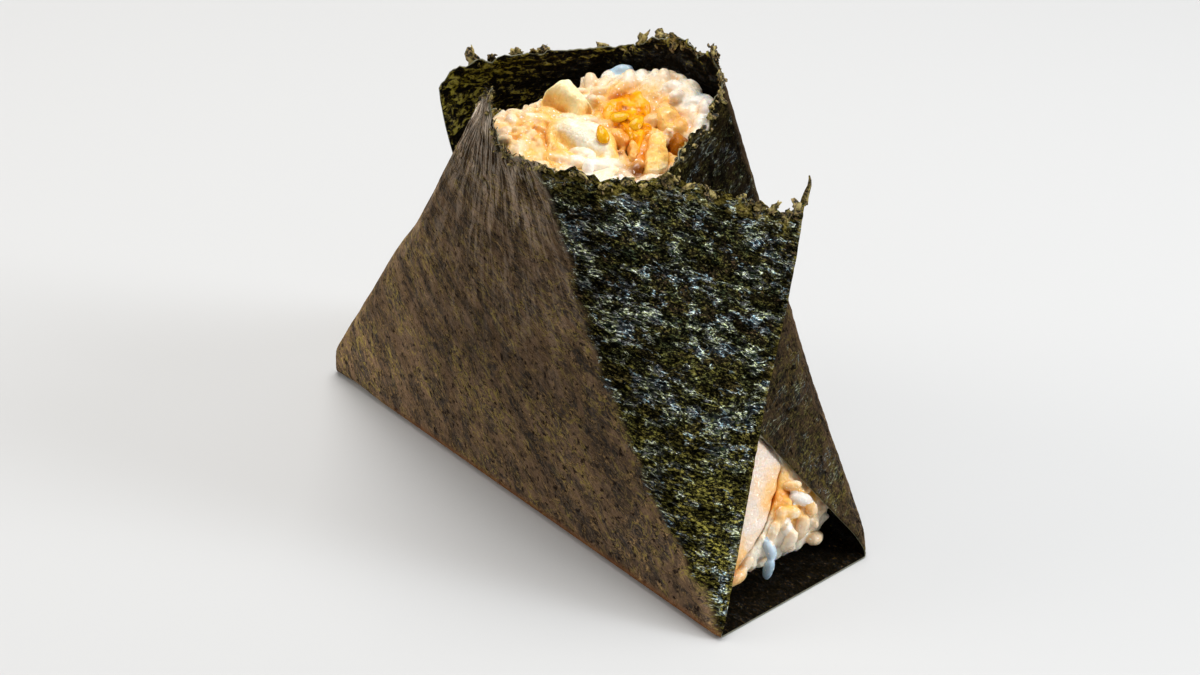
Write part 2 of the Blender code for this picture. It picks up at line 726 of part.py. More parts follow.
def lay_grains(block, trees, rng):
    """Grains sunk into the bitten surface and into the two open ends."""
    surface = mesh_tree(block)
    grains = []
    placed = []
    for zone, wanted in (("bite", BITE_GRAINS), ("right", RIGHT_GRAINS), ("left", LEFT_GRAINS)):
        found = 0
        for _ in range(wanted * TRIES_PER_GRAIN):
            if found == wanted:
                break
            point, normal, _, _ = surface.ray_cast(*drop_line(zone, rng))
            if point is None:
                continue
            if zone == "bite" and normal.z < STEEPEST_BITE:
                continue
            if zone != "bite" and abs(point.x) < END_INNERMOST:
                continue
            if any((point - other).length < GRAIN_SPACING for other in placed):
                continue
            length = GRAIN_LENGTH * rng.uniform(0.85, 1.12)
            width = GRAIN_WIDTH * rng.uniform(0.9, 1.1)
            frame = lying_frame(point, normal, rng.uniform(0, math.pi), GRAIN_LIFT)
            frame = frame @ Matrix.Rotation(rng.uniform(-GRAIN_LEAN, GRAIN_LEAN), 4, "Y")
            if not clear_of(trees, frame, length, width / 2):
                continue
            grains.append(ellipsoid(frame, length, width, width * GRAIN_FLATTENING))
            placed.append(point)
            found += 1
    return grains


def hang_grain(low, high):
    """A grain that hangs between two points."""
    axis = (Vector(high) - Vector(low)) * MM
    frame = Matrix.Translation(Vector(low) * MM + axis / 2)
    frame = frame @ axis.to_track_quat("X", "Z").to_matrix().to_4x4()
    return ellipsoid(frame, axis.length, HANGING_WIDTH, HANGING_THICKNESS)


def lay_seed(tree, spot, turn):
    """A sesame seed pressed into the piece below it."""
    start = Vector((spot[0] * MM, spot[1] * MM, ABOVE))
    point, normal, _, _ = tree.ray_cast(start, Vector((0, 0, -1)))
    frame = lying_frame(point, normal, math.radians(turn), SEED_LIFT)
    return ellipsoid(frame, SEED_LENGTH, SEED_WIDTH, SEED_THICKNESS, SEED_SIDES)


def shade_smooth(obj, angle):
    """Round surfaces smooth, creases kept."""
    bm = bmesh.new()
    bm.from_mesh(obj.data)
    for face in bm.faces:
        face.smooth = True
    for edge in bm.edges:
        edge.smooth = not edge.is_manifold or edge.calc_face_angle(0.0) < angle
    bm.to_mesh(obj.data)
    bm.free()


def main():
    for obj in list(bpy.data.objects):
        bpy.data.objects.remove(obj)
    rng = random.Random(GRAIN_SEED)

    sheet = make_sheet()
    block = make_block()
    combine(block, [make_bite()], "DIFFERENCE")

    # Each piece of chicken sits in a hole of its own shape, a little larger than itself.
    meat = make_material("cooked_chicken", *COOKED_CHICKEN)
    glazed = make_material("glazed_chicken", *GLAZED_CHICKEN)
    neighbours = [(mesh_tree(sheet), SHEET / 2)]
    made = {"rice_block": block}
    holes = []
    for name, *shape in chicken_pieces():
        made[name] = torn_piece(name, *shape, glazed if name == "chicken_glazed" else meat)
        neighbours.append((mesh_tree(made[name]), 0.0))
        holes.append(torn_piece("hole", *shape, grow=PIECE_GAP))
    combine(block, holes, "DIFFERENCE")
    keep_main_shell(block)

    # Grains and seeds are fused to what they lie on.
    loose = {"rice_block": lay_grains(block, neighbours, rng)}
    loose["rice_block"] += [hang_grain(low, high) for low, high in HANGING]
    for name, spot, turn in SEEDS:
        loose.setdefault(name, []).append(lay_seed(mesh_tree(made[name]), spot, turn))
    for name, group in loose.items():
        combine(made[name], group, "UNION")
        keep_main_shell(made[name])

    thickness = sheet.modifiers.new("thickness", "SOLIDIFY")
    thickness.thickness = SHEET
    thickness.offset = 0.0
    apply_modifiers(sheet)
    shade_smooth(sheet, SHEET_CREASE)
    for obj in made.values():
        shade_smooth(obj, FOOD_CREASE)


main()
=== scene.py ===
import math
import random

import bmesh
import bpy
import numpy as np
from mathutils import Matrix, Vector, noise
from mathutils.bvhtree import BVHTree
from mathutils.kdtree import KDTree


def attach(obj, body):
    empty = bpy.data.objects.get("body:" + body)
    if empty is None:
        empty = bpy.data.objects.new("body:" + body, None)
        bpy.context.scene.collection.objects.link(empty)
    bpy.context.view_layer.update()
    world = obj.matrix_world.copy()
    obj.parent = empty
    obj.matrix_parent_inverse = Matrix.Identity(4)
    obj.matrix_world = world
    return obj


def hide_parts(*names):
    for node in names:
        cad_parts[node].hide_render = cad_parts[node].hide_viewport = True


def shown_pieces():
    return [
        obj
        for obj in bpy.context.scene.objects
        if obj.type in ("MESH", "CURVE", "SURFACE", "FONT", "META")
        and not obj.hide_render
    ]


# A bitten triangle of seasoned rice with chicken, wrapped in one folded sheet of roasted seaweed.
# Metres, +Z up, the plain front panel faces -Y and the origin lies under the middle of the base.
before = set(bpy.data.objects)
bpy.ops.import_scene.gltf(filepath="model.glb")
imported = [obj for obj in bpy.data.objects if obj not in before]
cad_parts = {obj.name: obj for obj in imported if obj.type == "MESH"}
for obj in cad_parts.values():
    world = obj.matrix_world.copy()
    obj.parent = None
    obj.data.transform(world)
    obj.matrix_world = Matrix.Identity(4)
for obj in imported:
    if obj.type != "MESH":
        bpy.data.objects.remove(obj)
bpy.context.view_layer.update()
scene = bpy.context.scene
MM = 0.001


# The camera stands in front and to the right of the rice ball and looks down on it.
# It is turned a little about its own axis, as the photograph is.
CAMERA_AZIMUTH = math.radians(46.065)
CAMERA_ELEVATION = math.radians(30.827)
CAMERA_ROLL = math.radians(3.269)
CAMERA_DISTANCE = 356.43 * MM
CAMERA_TARGET = Vector((0.718, 0.736, 23.88)) * MM
CAMERA_SENSOR = 36
CAMERA_LENS = 66


def place_camera():
    flat = math.cos(CAMERA_ELEVATION)
    back = Vector((math.sin(CAMERA_AZIMUTH) * flat, -math.cos(CAMERA_AZIMUTH) * flat,
                   math.sin(CAMERA_ELEVATION)))
    level = Vector((math.cos(CAMERA_AZIMUTH), math.sin(CAMERA_AZIMUTH), 0.0))
    upright = back.cross(level)
    right = level * math.cos(CAMERA_ROLL) + upright * math.sin(CAMERA_ROLL)
    up = upright * math.cos(CAMERA_ROLL) - level * math.sin(CAMERA_ROLL)
    lens = bpy.data.cameras.new("camera")
    lens.sensor_width = CAMERA_SENSOR
    lens.lens = CAMERA_LENS
    lens.clip_start = 0.01
    camera = bpy.data.objects.new("camera", lens)
    camera.matrix_world = Matrix((right, up, back)).transposed().to_4x4()
    camera.matrix_world.translation = CAMERA_TARGET + back * CAMERA_DISTANCE
    scene.collection.objects.link(camera)
    scene.camera = camera


place_camera()


# The seaweed is one sheet, pressed and roasted, with its long sides folded round the slants.
# It is dull brown where it lies flat on the front, and crisp, dark and shiny on the flaps.
LENGTH = 96 * MM
HALF = 17 * MM
SLANT = math.radians(60.41)
SIN = math.sin(SLANT)
COS = math.cos(SLANT)
SHEET = 0.4 * MM
SEAWEED_THICKNESS = 0.24 * MM
LAYER = 1.0 * MM
PANEL_BULGE = 1.7 * MM
BULGE_HEIGHT = 75 * MM
NARROWEST_PANEL = 4 * MM
BASE_REACH = 1.5 * MM
TIP_REACH = 1.0 * MM
TOP_REACH = 5 * MM
# By panel (-1 front, 1 back) and side (-1 left, 1 right).
FOLD_REACH = {(-1, 1): 9 * MM, (-1, -1): 4 * MM, (1, 1): 5 * MM, (1, -1): 5 * MM}
FOLD_OPENS_OVER = 35 * MM
FOLD_LOOSE_FROM = 50 * MM
FOLD_LOOSE_OVER = 24 * MM
EDGE_BULGE = {-1: (2.0 * MM, 46 * MM), 1: (1.0 * MM, 90 * MM)}
EDGE_BULGE_WIDTH = 13 * MM
EDGE_BULGE_START = 5 * MM
EDGE_BULGE_FADE = 14 * MM
EDGE_BULGE_LOSS = 0.6
RIPPLE = 0.3 * MM
RIPPLE_ACROSS = 9 * MM
RIPPLE_UP = 13 * MM
RIPPLE_PHASE = 0.7
RIPPLE_FULL = 15 * MM
INNER_RIPPLE = 0.4
INNER_FLAP = 22 * MM
SPRING = math.radians(33)
SPRING_FROM = 42 * MM
SPRING_OVER = 20 * MM
WIDEN = {(-1, 1): 0.102, (1, 1): 0.0, (1, -1): -0.07, (-1, -1): 0.0}
FRONT_TEAR = (
    (-48, 63.5), (-30, 64.5), (-16, 64.8), (-11.5, 66), (-9, 67.4), (-7.2, 69.4), (-6.2, 68.2),
    (-5.3, 64.2), (-4.2, 61.8), (0, 61.7), (5.4, 62.3), (9.5, 63.2), (16, 63.6), (23, 64.9),
    (29, 66.7), (35, 66.5), (46.8, 66.8), (51, 66.4), (54, 67.6), (55.4, 70.5), (56.2, 73.0))
BACK_TEAR = (
    (-47, 58.5), (-45.5, 61.5), (-43.5, 64), (-40, 66.3), (-37, 67.3), (-34, 67.2), (-30, 67.8),
    (-22, 67),
    (-14.6, 66.4), (-10.5, 67.2), (-7.6, 69.4), (-3.3, 70.6), (0.5, 70.2), (1.5, 69.0), (3, 70.2),
    (5, 71.6), (7, 72.6), (8.3, 69.4), (10, 69.8), (13.3, 68.8), (18, 67.4), (24.8, 68.4),
    (30, 67.6), (40, 66.5))
TEAR_HEIGHT = 66 * MM
EDGE_SEARCHES = 6
# Ragged edge: sizes of its bites out of the sheet and how deep they go.
RAGGED = ((3.4 * MM, 0.8 * MM), (1.3 * MM, 0.9 * MM), (0.6 * MM, 0.45 * MM))
# The sheet's grid.
SHEET_COLUMNS = 164
PANEL_ROWS = 118
FOLD_ROWS = (1.0 * MM, 0.5 * MM, 0.0, -0.5 * MM, -1.0 * MM, -1.5 * MM)
BASE_ROWS = 8
# Where the sheet turns from dull to crisp: how far before the right-hand fold, and how softly.
CRISP_BEFORE = 9 * MM
CRISP_OVER = 28 * MM
CRISP_SOFTNESS = 2.4 * MM
CRISP_WANDER = 2.5 * MM
CRISP_WANDER_SIZE = 5 * MM
# The flaps that lie inside are crisp only past the fold, and more so high up.
INNER_CRISP = 0.3
INNER_CRISP_HIGH = 0.7
INNER_CRISP_FROM = 35 * MM
INNER_CRISP_OVER = 25 * MM
INNER_CRISP_AFTER = 1.5 * MM
# Relief: its height, and its lumps as (share, size across, size up, seed).
LUMP_HEIGHT = 0.22 * MM
LUMPS = ((0.6, 2.1, 1.2, 1.1), (0.4, 1.3, 0.8, 7.3))
FIBRE_HEIGHT = 0.1 * MM
FRAY_HEIGHT = 0.8 * MM
FRAY_OVER = 3 * MM
FRAYS = ((1.0, 2.6, 2.0, 6.6), (0.5, 1.1, 0.9, 8.6))
# The pleats that fan from the front peak.
PLEAT_HEIGHT = 0.8 * MM
PLEAT_CENTRE = (-6.5 * MM, 72 * MM)
PLEAT_FADE = 16 * MM
# Centres and radii of the round maps that the fibres and the pleats follow.
FLOW_CENTRE = {-1: (-62 * MM, 71 * MM), 1: (-5 * MM, 90 * MM)}
FLOW_RADIUS = 60
PLEAT_RADIUS = 14
# What the sheet's materials read at each point, from 0 to 1, and its painted light and shade, below
# 0 where it darkens and above 0 where it brightens.
SHEET_LOOKS = ("thin", "peak", "toasted", "light_and_shade", "base")


def smooth(t):
    t = min(max(t, 0.0), 1.0)
    return t * t * (3.0 - 2.0 * t)


def read_profile(profile, across):
    if across <= profile[0][0]:
        return profile[0][1]
    for (u0, v0), (u1, v1) in zip(profile, profile[1:]):
        if across <= u1:
            return v0 + (v1 - v0) * (across - u0) / (u1 - u0)
    return profile[-1][1]


def rough(x, y, size_x, size_y, phase):
    """Random relief from -1 to 1 with lumps of a given size."""
    return noise.noise(Vector((x / size_x, y / size_y, phase)))


def fold_reach(facing, side, s):
    full = FOLD_REACH[(facing, side)]
    opening = TIP_REACH + (full - TIP_REACH) * smooth(s / FOLD_OPENS_OVER)
    loosening = smooth((s - FOLD_LOOSE_FROM) / FOLD_LOOSE_OVER)
    return min(opening, full + (TOP_REACH - full) * loosening)


def panel_edge(h):
    return max(LENGTH / 2 - max(h, 0.0) * COS / SIN, NARROWEST_PANEL)


def edge_fullness(side, facing, s, m):
    rise, top = EDGE_BULGE[side]
    fading = smooth((s - top + EDGE_BULGE_FADE) / EDGE_BULGE_FADE)
    lift = smooth(s / EDGE_BULGE_START) * (1 - EDGE_BULGE_LOSS * fading)
    away = abs(m) if side == facing else abs(2 * HALF - m)
    return rise * lift * (1 - smooth(away / EDGE_BULGE_WIDTH))


def sheet_point(facing, u, h):
    """Folded place of a point of the flat sheet: u across, h up, negative h on the base panel."""
    x = u
    y = HALF
    z = max(h, 0.0)
    if h < -BASE_REACH:
        return Vector((x, facing * (HALF + h), SHEET / 2))
    if h < BASE_REACH:
        t = (h + BASE_REACH) / (2 * BASE_REACH)
        y -= (1 - t) * (1 - t) * BASE_REACH
        z = t * t * BASE_REACH
    ripple = RIPPLE * (0.5 + 0.5 * rough(u, h, RIPPLE_ACROSS, RIPPLE_UP, RIPPLE_PHASE))
    ripple *= smooth(h / RIPPLE_FULL)
    outward = 0.0
    for side in (-1, 1):
        beyond = side * u - LENGTH / 2
        s = h * SIN - beyond * COS
        m = h * COS + beyond * SIN
        reach = fold_reach(facing, side, s) * smooth((h + BASE_REACH) / BASE_REACH)
        if reach <= 0:
            continue
        t = (m + reach) / (2 * reach)
        wrapped = smooth(t)
        if t <= 0:
            n, inward = m, 0.0
        elif t >= 1:
            n, inward = 0.0, m
        else:
            n, inward = -(1 - t) * (1 - t) * reach, t * t * reach
        outward += wrapped
        if side == -facing:
            n += LAYER * wrapped
        if facing > 0 and side < 0:
            angle = SPRING * smooth((s - SPRING_FROM) / SPRING_OVER) * wrapped
            n, inward = (n * math.cos(angle) + inward * math.sin(angle),
                         inward * math.cos(angle) - n * math.sin(angle))
        n += edge_fullness(side, facing, s, m)
        wave = ripple * wrapped * (INNER_RIPPLE if side == facing else 1.0)
        x += side * (n - m + wave) * SIN
        z += (n - m + wave) * COS
        y -= inward
    if h > 0:
        c = min(abs(u) / panel_edge(h), 1.0)
        y += PANEL_BULGE * math.sin(math.pi * min(h / BULGE_HEIGHT, 1.0)) * (1 - c * c)
        y += ripple * (1 - min(outward, 1.0))
    return Vector((x, facing * y, z + SHEET / 2))


def side_reach(facing, side, h):
    """Distance from the middle to the side edge of the sheet at height h."""
    width = LENGTH / 2 + WIDEN[(facing, side)] * max(h, 0.0)
    if side == facing:
        width = min(width, LENGTH / 2 + (INNER_FLAP - h * COS) / SIN)
    return width


def sheet_column(facing, part, h):
    return part * side_reach(facing, 1 if part > 0 else -1, h)


def torn_height(facing, part):
    """Height of the torn edge on one column, closed in on because columns lean with height."""
    profile = FRONT_TEAR if facing < 0 else BACK_TEAR
    h = TEAR_HEIGHT
    for _ in range(EDGE_SEARCHES):
        h = read_profile(profile, sheet_column(facing, part, h) / MM) * MM
    u = sheet_column(facing, part, h)
    ragged = 0.35 + 0.65 * smooth((u / MM + 14) / 4) if facing > 0 else 1.0
    for size, depth in RAGGED:
        h += depth * ragged * rough(u, facing * HALF, size, size, depth / MM)
    return h


def crispness(facing, u, h):
    """0 where the sheet is dull, 1 where it is crisp and shiny."""
    if h < 0:
        return 0.0
    wander = CRISP_WANDER * rough(u, h, CRISP_WANDER_SIZE, CRISP_WANDER_SIZE, 4.2)
    fold = panel_edge(h)
    crisp = 0.0
    for side in (-1, 1):
        inner = side == facing
        before = -INNER_CRISP_AFTER if inner else CRISP_BEFORE * smooth(h / CRISP_OVER)
        share = smooth((side * u - fold + before + wander) / CRISP_SOFTNESS)
        if inner:
            high = smooth((h - INNER_CRISP_FROM) / INNER_CRISP_OVER)
            share *= INNER_CRISP + (INNER_CRISP_HIGH - INNER_CRISP) * high
        crisp = max(crisp, share)
    return crisp


def sheet_relief(facing, u, h, crisp, below_tear):
    """Height of lumps, pleats and fibres over the folded sheet."""
    lumps = sum(share * rough(u, h, across * MM, up * MM, seed + facing)
                for share, across, up, seed in LUMPS)
    relief = LUMP_HEIGHT * lumps * crisp
    relief += FIBRE_HEIGHT * rough(u + h, u - h, 6 * MM, 1.5 * MM, 2.2) * (1 - crisp)
    if facing < 0:
        du = u - PLEAT_CENTRE[0]
        dh = h - PLEAT_CENTRE[1]
        away = math.hypot(du, dh)
        turn = math.atan2(du, -dh)
        fan = noise.noise(Vector((turn * 5.5, away / (30 * MM), 5.0)))
        fan += 0.6 * noise.noise(Vector((turn * 12, away / (20 * MM), 9.0)))
        relief += PLEAT_HEIGHT * fan * math.exp(-away / PLEAT_FADE) * smooth(away / (4 * MM))
    frayed = (1 - smooth(below_tear / FRAY_OVER)) * FRAY_HEIGHT
    for share, across, up, seed in FRAYS:
        relief += share * frayed * rough(u, h, across * MM, up * MM, seed)
    return relief * smooth((h - BASE_REACH) / (5 * MM))


def sheet_looks(facing, u, h, below_tear, inside_edge):
    """How thin, near the front peak and toasted a point is, its painted light and shade, and whether
    it is underneath.
    """
    left = smooth((-u / MM - 20) / 16) * smooth((h / MM - 40) / 20) if facing > 0 else 0.0
    cut = 1 - inside_edge / (0.7 * MM) if h > 0 else 0.0
    near = max(1 - below_tear / (4 * MM), cut, 0.0)
    thin = min(near + 0.9 * left, 1.0)
    away = math.hypot(u - PLEAT_CENTRE[0], h - PLEAT_CENTRE[1])
    peak = min(math.exp(-away / PLEAT_FADE) * 1.6, 1.0) if facing < 0 and h > 0 else 0.0
    low = 1 - smooth((h - 0.5 * MM) / (1.7 * MM)) if h > -1.0 * MM else 0.0
    toasted = 0.75 * low * smooth((u + 40 * MM) / (20 * MM)) if facing < 0 else 0.3 * low
    # Painted light and shade: the front is painted brighter towards its left and its foot, both
    # panels get a painted lighter band along the folds, and the back is painted darker, more so high
    # up.
    painted_light = 0.55 * smooth((-5 - u / MM) / 30) + 0.45 * (1 - smooth((h / MM - 4) / 20))
    rim = 0.6 * math.exp(-((panel_edge(h) - abs(u)) / (1.6 * MM)) ** 2)
    shaded = -0.45 - 0.3 * smooth((h / MM - 40) / 15)
    light_and_shade = 1.1 * min(painted_light + rim, 1.0) if facing < 0 else shaded + rim
    return thin, peak, toasted, light_and_shade, float(h < 0)


def sheet_maps(facing, u, h):
    """Flat coordinates of a point in mm, and round ones about the flow and the pleats."""
    flow_u = (u - FLOW_CENTRE[facing][0]) / MM
    flow_h = (h - FLOW_CENTRE[facing][1]) / MM
    pleat_u = (u - PLEAT_CENTRE[0]) / MM
    pleat_h = (h - PLEAT_CENTRE[1]) / MM
    return {
        "sheet": (u / MM, facing * (HALF + h) / MM),
        "flow": (math.atan2(-flow_h, flow_u) * FLOW_RADIUS, math.hypot(flow_u, flow_h)),
        "pleat": (math.atan2(pleat_u, -pleat_h) * PLEAT_RADIUS, math.hypot(pleat_u, pleat_h))}


def link_object(name, mesh):
    obj = bpy.data.objects.new(name, mesh)
    scene.collection.objects.link(obj)
    return obj


def bake_modifiers(obj):
    """Turn the result of an object's modifiers into its plain mesh."""
    graph = bpy.context.evaluated_depsgraph_get()
    graph.update()
    mesh = bpy.data.meshes.new_from_object(obj.evaluated_get(graph))
    obj.modifiers.clear()
    obj.data = mesh
    return obj


def shade_round(obj):
    obj.data.shade_smooth()
    return obj


def object_of(bm, name, *materials):
    """Turn a finished bmesh into an object of the scene."""
    mesh = bpy.data.meshes.new(name)
    bm.to_mesh(mesh)
    bm.free()
    for material in materials:
        mesh.materials.append(material)
    return link_object(name, mesh)


def skin_grid(bm, grid):
    """Faces between the rows of a grid of points."""
    for low, high in zip(grid, grid[1:]):
        for corners in zip(low, low[1:], high[1:], high):
            bm.faces.new(corners)


def thicken(obj, thickness, inner=0, rim=0):
    """Give a sheet an even thickness; inner and rim count materials on from its own."""
    modifier = obj.modifiers.new("thickness", "SOLIDIFY")
    modifier.thickness = thickness
    modifier.offset = 0.0
    modifier.material_offset = inner
    modifier.material_offset_rim = rim
    return shade_round(bake_modifiers(obj))


def store(obj, name, values):
    """Keep a number for each point of a mesh, for its material to read."""
    attributes = obj.data.attributes
    layer = attributes.get(name) or attributes.new(name, "FLOAT", "POINT")
    layer.data.foreach_set("value", values)


def plug(socket, value):
    """Link an input to a socket, or set it to a number, a direction or a colour."""
    if isinstance(value, bpy.types.NodeSocket):
        socket.id_data.links.new(value, socket)
    elif socket.type == "RGBA":
        socket.default_value = (*value, 1.0)
    else:
        socket.default_value = value


def set_inputs(made, **inputs):
    """Set inputs of a node by their names, with _ for a space."""
    for key, value in inputs.items():
        plug(made.inputs[key.replace("_", " ")], value)


def node(tree, kind, settings=(), **inputs):
    """A shader or geometry node with its settings and inputs."""
    made = tree.nodes.new(kind)
    for key, value in dict(settings).items():
        setattr(made, key, value)
    set_inputs(made, **inputs)
    return made


def speckle(vector, scale, detail=3.0, roughness=0.55, distortion=0.0):
    """Cloudy noise of one scale, or of two scales across and along a flat map."""
    tree = vector.id_data
    if isinstance(scale, tuple):
        stretched = node(tree, "ShaderNodeMapping", Vector=vector, Scale=(*scale, 1.0))
        vector = stretched.outputs["Vector"]
        scale = 1.0
    return node(tree, "ShaderNodeTexNoise", Vector=vector, Scale=scale, Detail=detail,
                Roughness=roughness, Distortion=distortion).outputs["Fac"]


def span(value, low, high, out_low=0.0, out_high=1.0):
    """Stretch a part of a value's range, clamped."""
    return node(value.id_data, "ShaderNodeMapRange", Value=value, From_Min=low, From_Max=high,
                To_Min=out_low, To_Max=out_high).outputs["Result"]


def layered(tone, *coats):
    """Lay colours over a colour; each coat is how much of it there is, and its colour."""
    for share, over in coats:
        made = node(share.id_data, "ShaderNodeMix", {"data_type": "RGBA"})
        for index, value in ((0, share), (6, tone), (7, over)):
            plug(made.inputs[index], value)
        tone = made.outputs[2]
    return tone


def arithmetic(operation, first, second=0.0):
    """One operation on two sockets, or on a socket and a number."""
    tree = (first if isinstance(first, bpy.types.NodeSocket) else second).id_data
    made = node(tree, "ShaderNodeMath", {"operation": operation})
    plug(made.inputs[0], first)
    plug(made.inputs[1], second)
    return made.outputs[0]


def times(first, second):
    return arithmetic("MULTIPLY", first, second)


def plus(first, second):
    return arithmetic("ADD", first, second)


def minus(first, second):
    return arithmetic("SUBTRACT", first, second)


def scaled(vector, factor):
    """A colour or a direction times a number."""
    made = node(vector.id_data, "ShaderNodeVectorMath", {"operation": "SCALE"}, Scale=factor)
    plug(made.inputs[0], vector)
    return made.outputs["Vector"]


def raised(height, distance, under=None):
    """Bump of a real height in metres, over another bump."""
    made = node(height.id_data, "ShaderNodeBump", Height=height, Distance=distance)
    if under:
        plug(made.inputs["Normal"], under)
    return made.outputs["Normal"]


def new_material(name, **inputs):
    material = bpy.data.materials.new(name)
    material.use_nodes = True
    shader = material.node_tree.nodes["Principled BSDF"]
    set_inputs(shader, **inputs)
    return material, material.node_tree, shader


def painted(tree, name):
    return node(tree, "ShaderNodeAttribute", {"attribute_name": name}).outputs["Fac"]


def flat_map(tree, name):
    return node(tree, "ShaderNodeUVMap", {"uv_map": name}).outputs["UV"]


def object_space(tree):
    return node(tree, "ShaderNodeTexCoord").outputs["Object"]


def threads(vector, across, along, width):
    """Thin lines that run along the second direction of a map."""
    wander = speckle(vector, (across, along), distortion=0.5)
    return span(arithmetic("ABSOLUTE", minus(wander, 0.5)), width, 0.0)


def seaweed_outer():
    """Dull brown with fibres along its flow, and on the flaps crisp, dark and wet, with painted
    light, shade, reflections and glints.
    """
    material, tree, shader = new_material(
        "seaweed_outer", Specular_IOR_Level=0.0, Coat_Roughness=0.12, Coat_IOR=1.9)
    flat, flow, pleat = (flat_map(tree, name) for name in ("sheet", "flow", "pleat"))
    crisp, thin, near_peak = (painted(tree, name) for name in ("crisp", "thin", "peak"))
    light_and_shade, toasted = (painted(tree, name) for name in ("light_and_shade", "toasted"))

    slate = speckle(flow, (0.40, 0.13), 5, 0.65, 0.8)
    fibres = threads(flow, 0.95, 0.26, 0.03)
    fine = threads(flow, 2.1, 0.6, 0.035)
    olive_lines = threads(flow, 0.7, 0.3, 0.03)
    cracks = threads(flow, 0.55, 0.3, 0.014)
    fans = speckle(pleat, (1.3, 0.14), 5, 0.75, 0.8)
    strands = threads(pleat, 1.5, 0.14, 0.045)
    pits = speckle(flow, (1.5, 0.8), 2, 0.6)
    mottle = speckle(flat, 0.45, 5, 0.7)
    patches = speckle(flow, (0.20, 0.07), 4, 0.7)
    dull = layered(
        (0.026, 0.022, 0.019),
        (span(slate, 0.45, 0.54), (0.098, 0.062, 0.038)),
        (span(mottle, 0.47, 0.57, 0.0, 0.8), (0.040, 0.028, 0.018)),
        (times(fine, 0.5), (0.22, 0.14, 0.075)),
        (times(fibres, span(mottle, 0.4, 0.6, 0.1, 0.9)), (0.30, 0.19, 0.085)),
        (times(olive_lines, span(patches, 0.44, 0.56)), (0.17, 0.125, 0.035)),
        (times(cracks, span(mottle, 0.48, 0.56)), (0.008, 0.006, 0.005)),
        (span(pits, 0.60, 0.65, 0.0, 0.9), (0.008, 0.005, 0.004)),
        # Near the peak the raised pleats get a painted highlight and the hollows between them
        # painted shade.
        (times(near_peak, span(fans, 0.49, 0.62)), (0.40, 0.30, 0.22)),
        (times(near_peak, span(fans, 0.49, 0.43)), (0.012, 0.008, 0.004)),
        (times(arithmetic("POWER", near_peak, 3.0), strands), (0.86, 0.74, 0.60)))
    dull = scaled(dull, span(patches, 0.42, 0.58, 1.06, 1.44))
    # Painted light and shade scales the dull colour.
    dull = scaled(dull, plus(light_and_shade, 1.0))
    dull = layered(dull, (toasted, (0.30, 0.125, 0.05)))

    lumps = speckle(flat, (0.5, 1.0), 5, 0.66, 0.5)
    flecks = speckle(flat, (1.1, 2.6), 4, 0.7, 0.6)
    grit = speckle(flat, (2.2, 3.4), 3, 0.65)
    hue = speckle(flat, (0.2, 0.3), 3, 0.6)
    fine_shading = speckle(flat, (1.3, 2.6), 3, 0.6, 0.5)
    crumple_shading = speckle(flat, (0.22, 0.55), 4, 0.65, 0.6)
    broad = span(speckle(flat, (0.11, 0.17), 2), 0.38, 0.62, -0.11, 0.09)
    lights = plus(speckle(flat, (0.3, 0.62), 4, 0.6, 0.5), broad)
    height = node(tree, "ShaderNodeSeparateXYZ", Vector=flat).outputs["Y"]
    low = span(arithmetic("ABSOLUTE", height), 62, 30)
    olives = plus(minus(flecks, times(broad, 0.2)), times(low, 0.035))
    leaf = layered(
        (0.060, 0.038, 0.020), (span(hue, 0.42, 0.52), (0.110, 0.100, 0.022)),
        (span(hue, 0.5, 0.6), (0.048, 0.064, 0.032)), (times(low, 0.8), (0.27, 0.235, 0.045)))
    # Painted reflections on the crisp flaps: blue-grey patches of reflected sky, and thin glints of
    # green, teal and white along the streaks.
    painted_sky_sheen = layered((0.014, 0.024, 0.036), (span(hue, 0.46, 0.54), (0.018, 0.032, 0.020)))
    painted_glints = layered((0.25, 0.42, 0.50), (span(hue, 0.45, 0.52), (0.55, 0.60, 0.30)),
                   (span(grit, 0.50, 0.58), (0.95, 1.0, 0.88)))
    streaks = times(threads(flat, 0.32, 1.0, 0.028), span(lights, 0.475, 0.56))
    shiny = layered(
        (0.003, 0.003, 0.002),
        (span(lumps, 0.47, 0.58), (0.012, 0.010, 0.005)),
        (span(olives, 0.53, 0.62), leaf),
        (span(grit, 0.59, 0.66, 0.0, 0.7), (0.20, 0.19, 0.06)),
        (span(lights, 0.54, 0.62, 0.0, 0.6), painted_sky_sheen),
        (streaks, painted_glints),
        (times(thin, span(lumps, 0.44, 0.54)), (0.16, 0.125, 0.025)))
    # Painted shade and light scale the crisp colour: fine dark crinkles, the lit and shaded sides of
    # the crumples, and the darker back.
    shaded = plus(arithmetic("MINIMUM", light_and_shade, 0.0), 1.0)
    for factor in (span(fine_shading, 0.43, 0.54, 0.25, 1.5), span(crumple_shading, 0.42, 0.56, 0.38, 1.75),
                   shaded):
        shiny = scaled(shiny, factor)

    shreds = speckle(flat, (0.9, 2.0), 3, 0.6, 0.6)
    wet = times(span(shreds, 0.50, 0.57), span(lights, 0.475, 0.58))
    crispest = times(arithmetic("POWER", crisp, 2.5), shaded)
    crispest = times(crispest, span(crumple_shading, 0.44, 0.53, 0.25, 1.0))
    weave = plus(slate, times(fibres, 0.25))
    normal = raised(times(weave, minus(1.0, crisp)), 0.8 * MM)
    for relief, rise in ((times(fans, near_peak), 1.2), (times(lumps, crisp), 1.2),
                         (times(flecks, crisp), 0.4), (times(grit, plus(crisp, 1.0)), 0.12)):
        normal = raised(relief, rise * MM, normal)
    swells = speckle(flat, (0.4, 1.1), 3, 0.6, 0.8)
    gloss = plus(span(crisp, 0.0, 1.0, 0.62, 0.48), span(grit, 0.4, 0.6, -0.06, 0.1))
    set_inputs(shader, Base_Color=layered(dull, (crisp, shiny)), Roughness=gloss, Normal=normal,
               Coat_Weight=times(crispest, wet), Coat_Normal=raised(swells, 1.3 * MM))
    return material


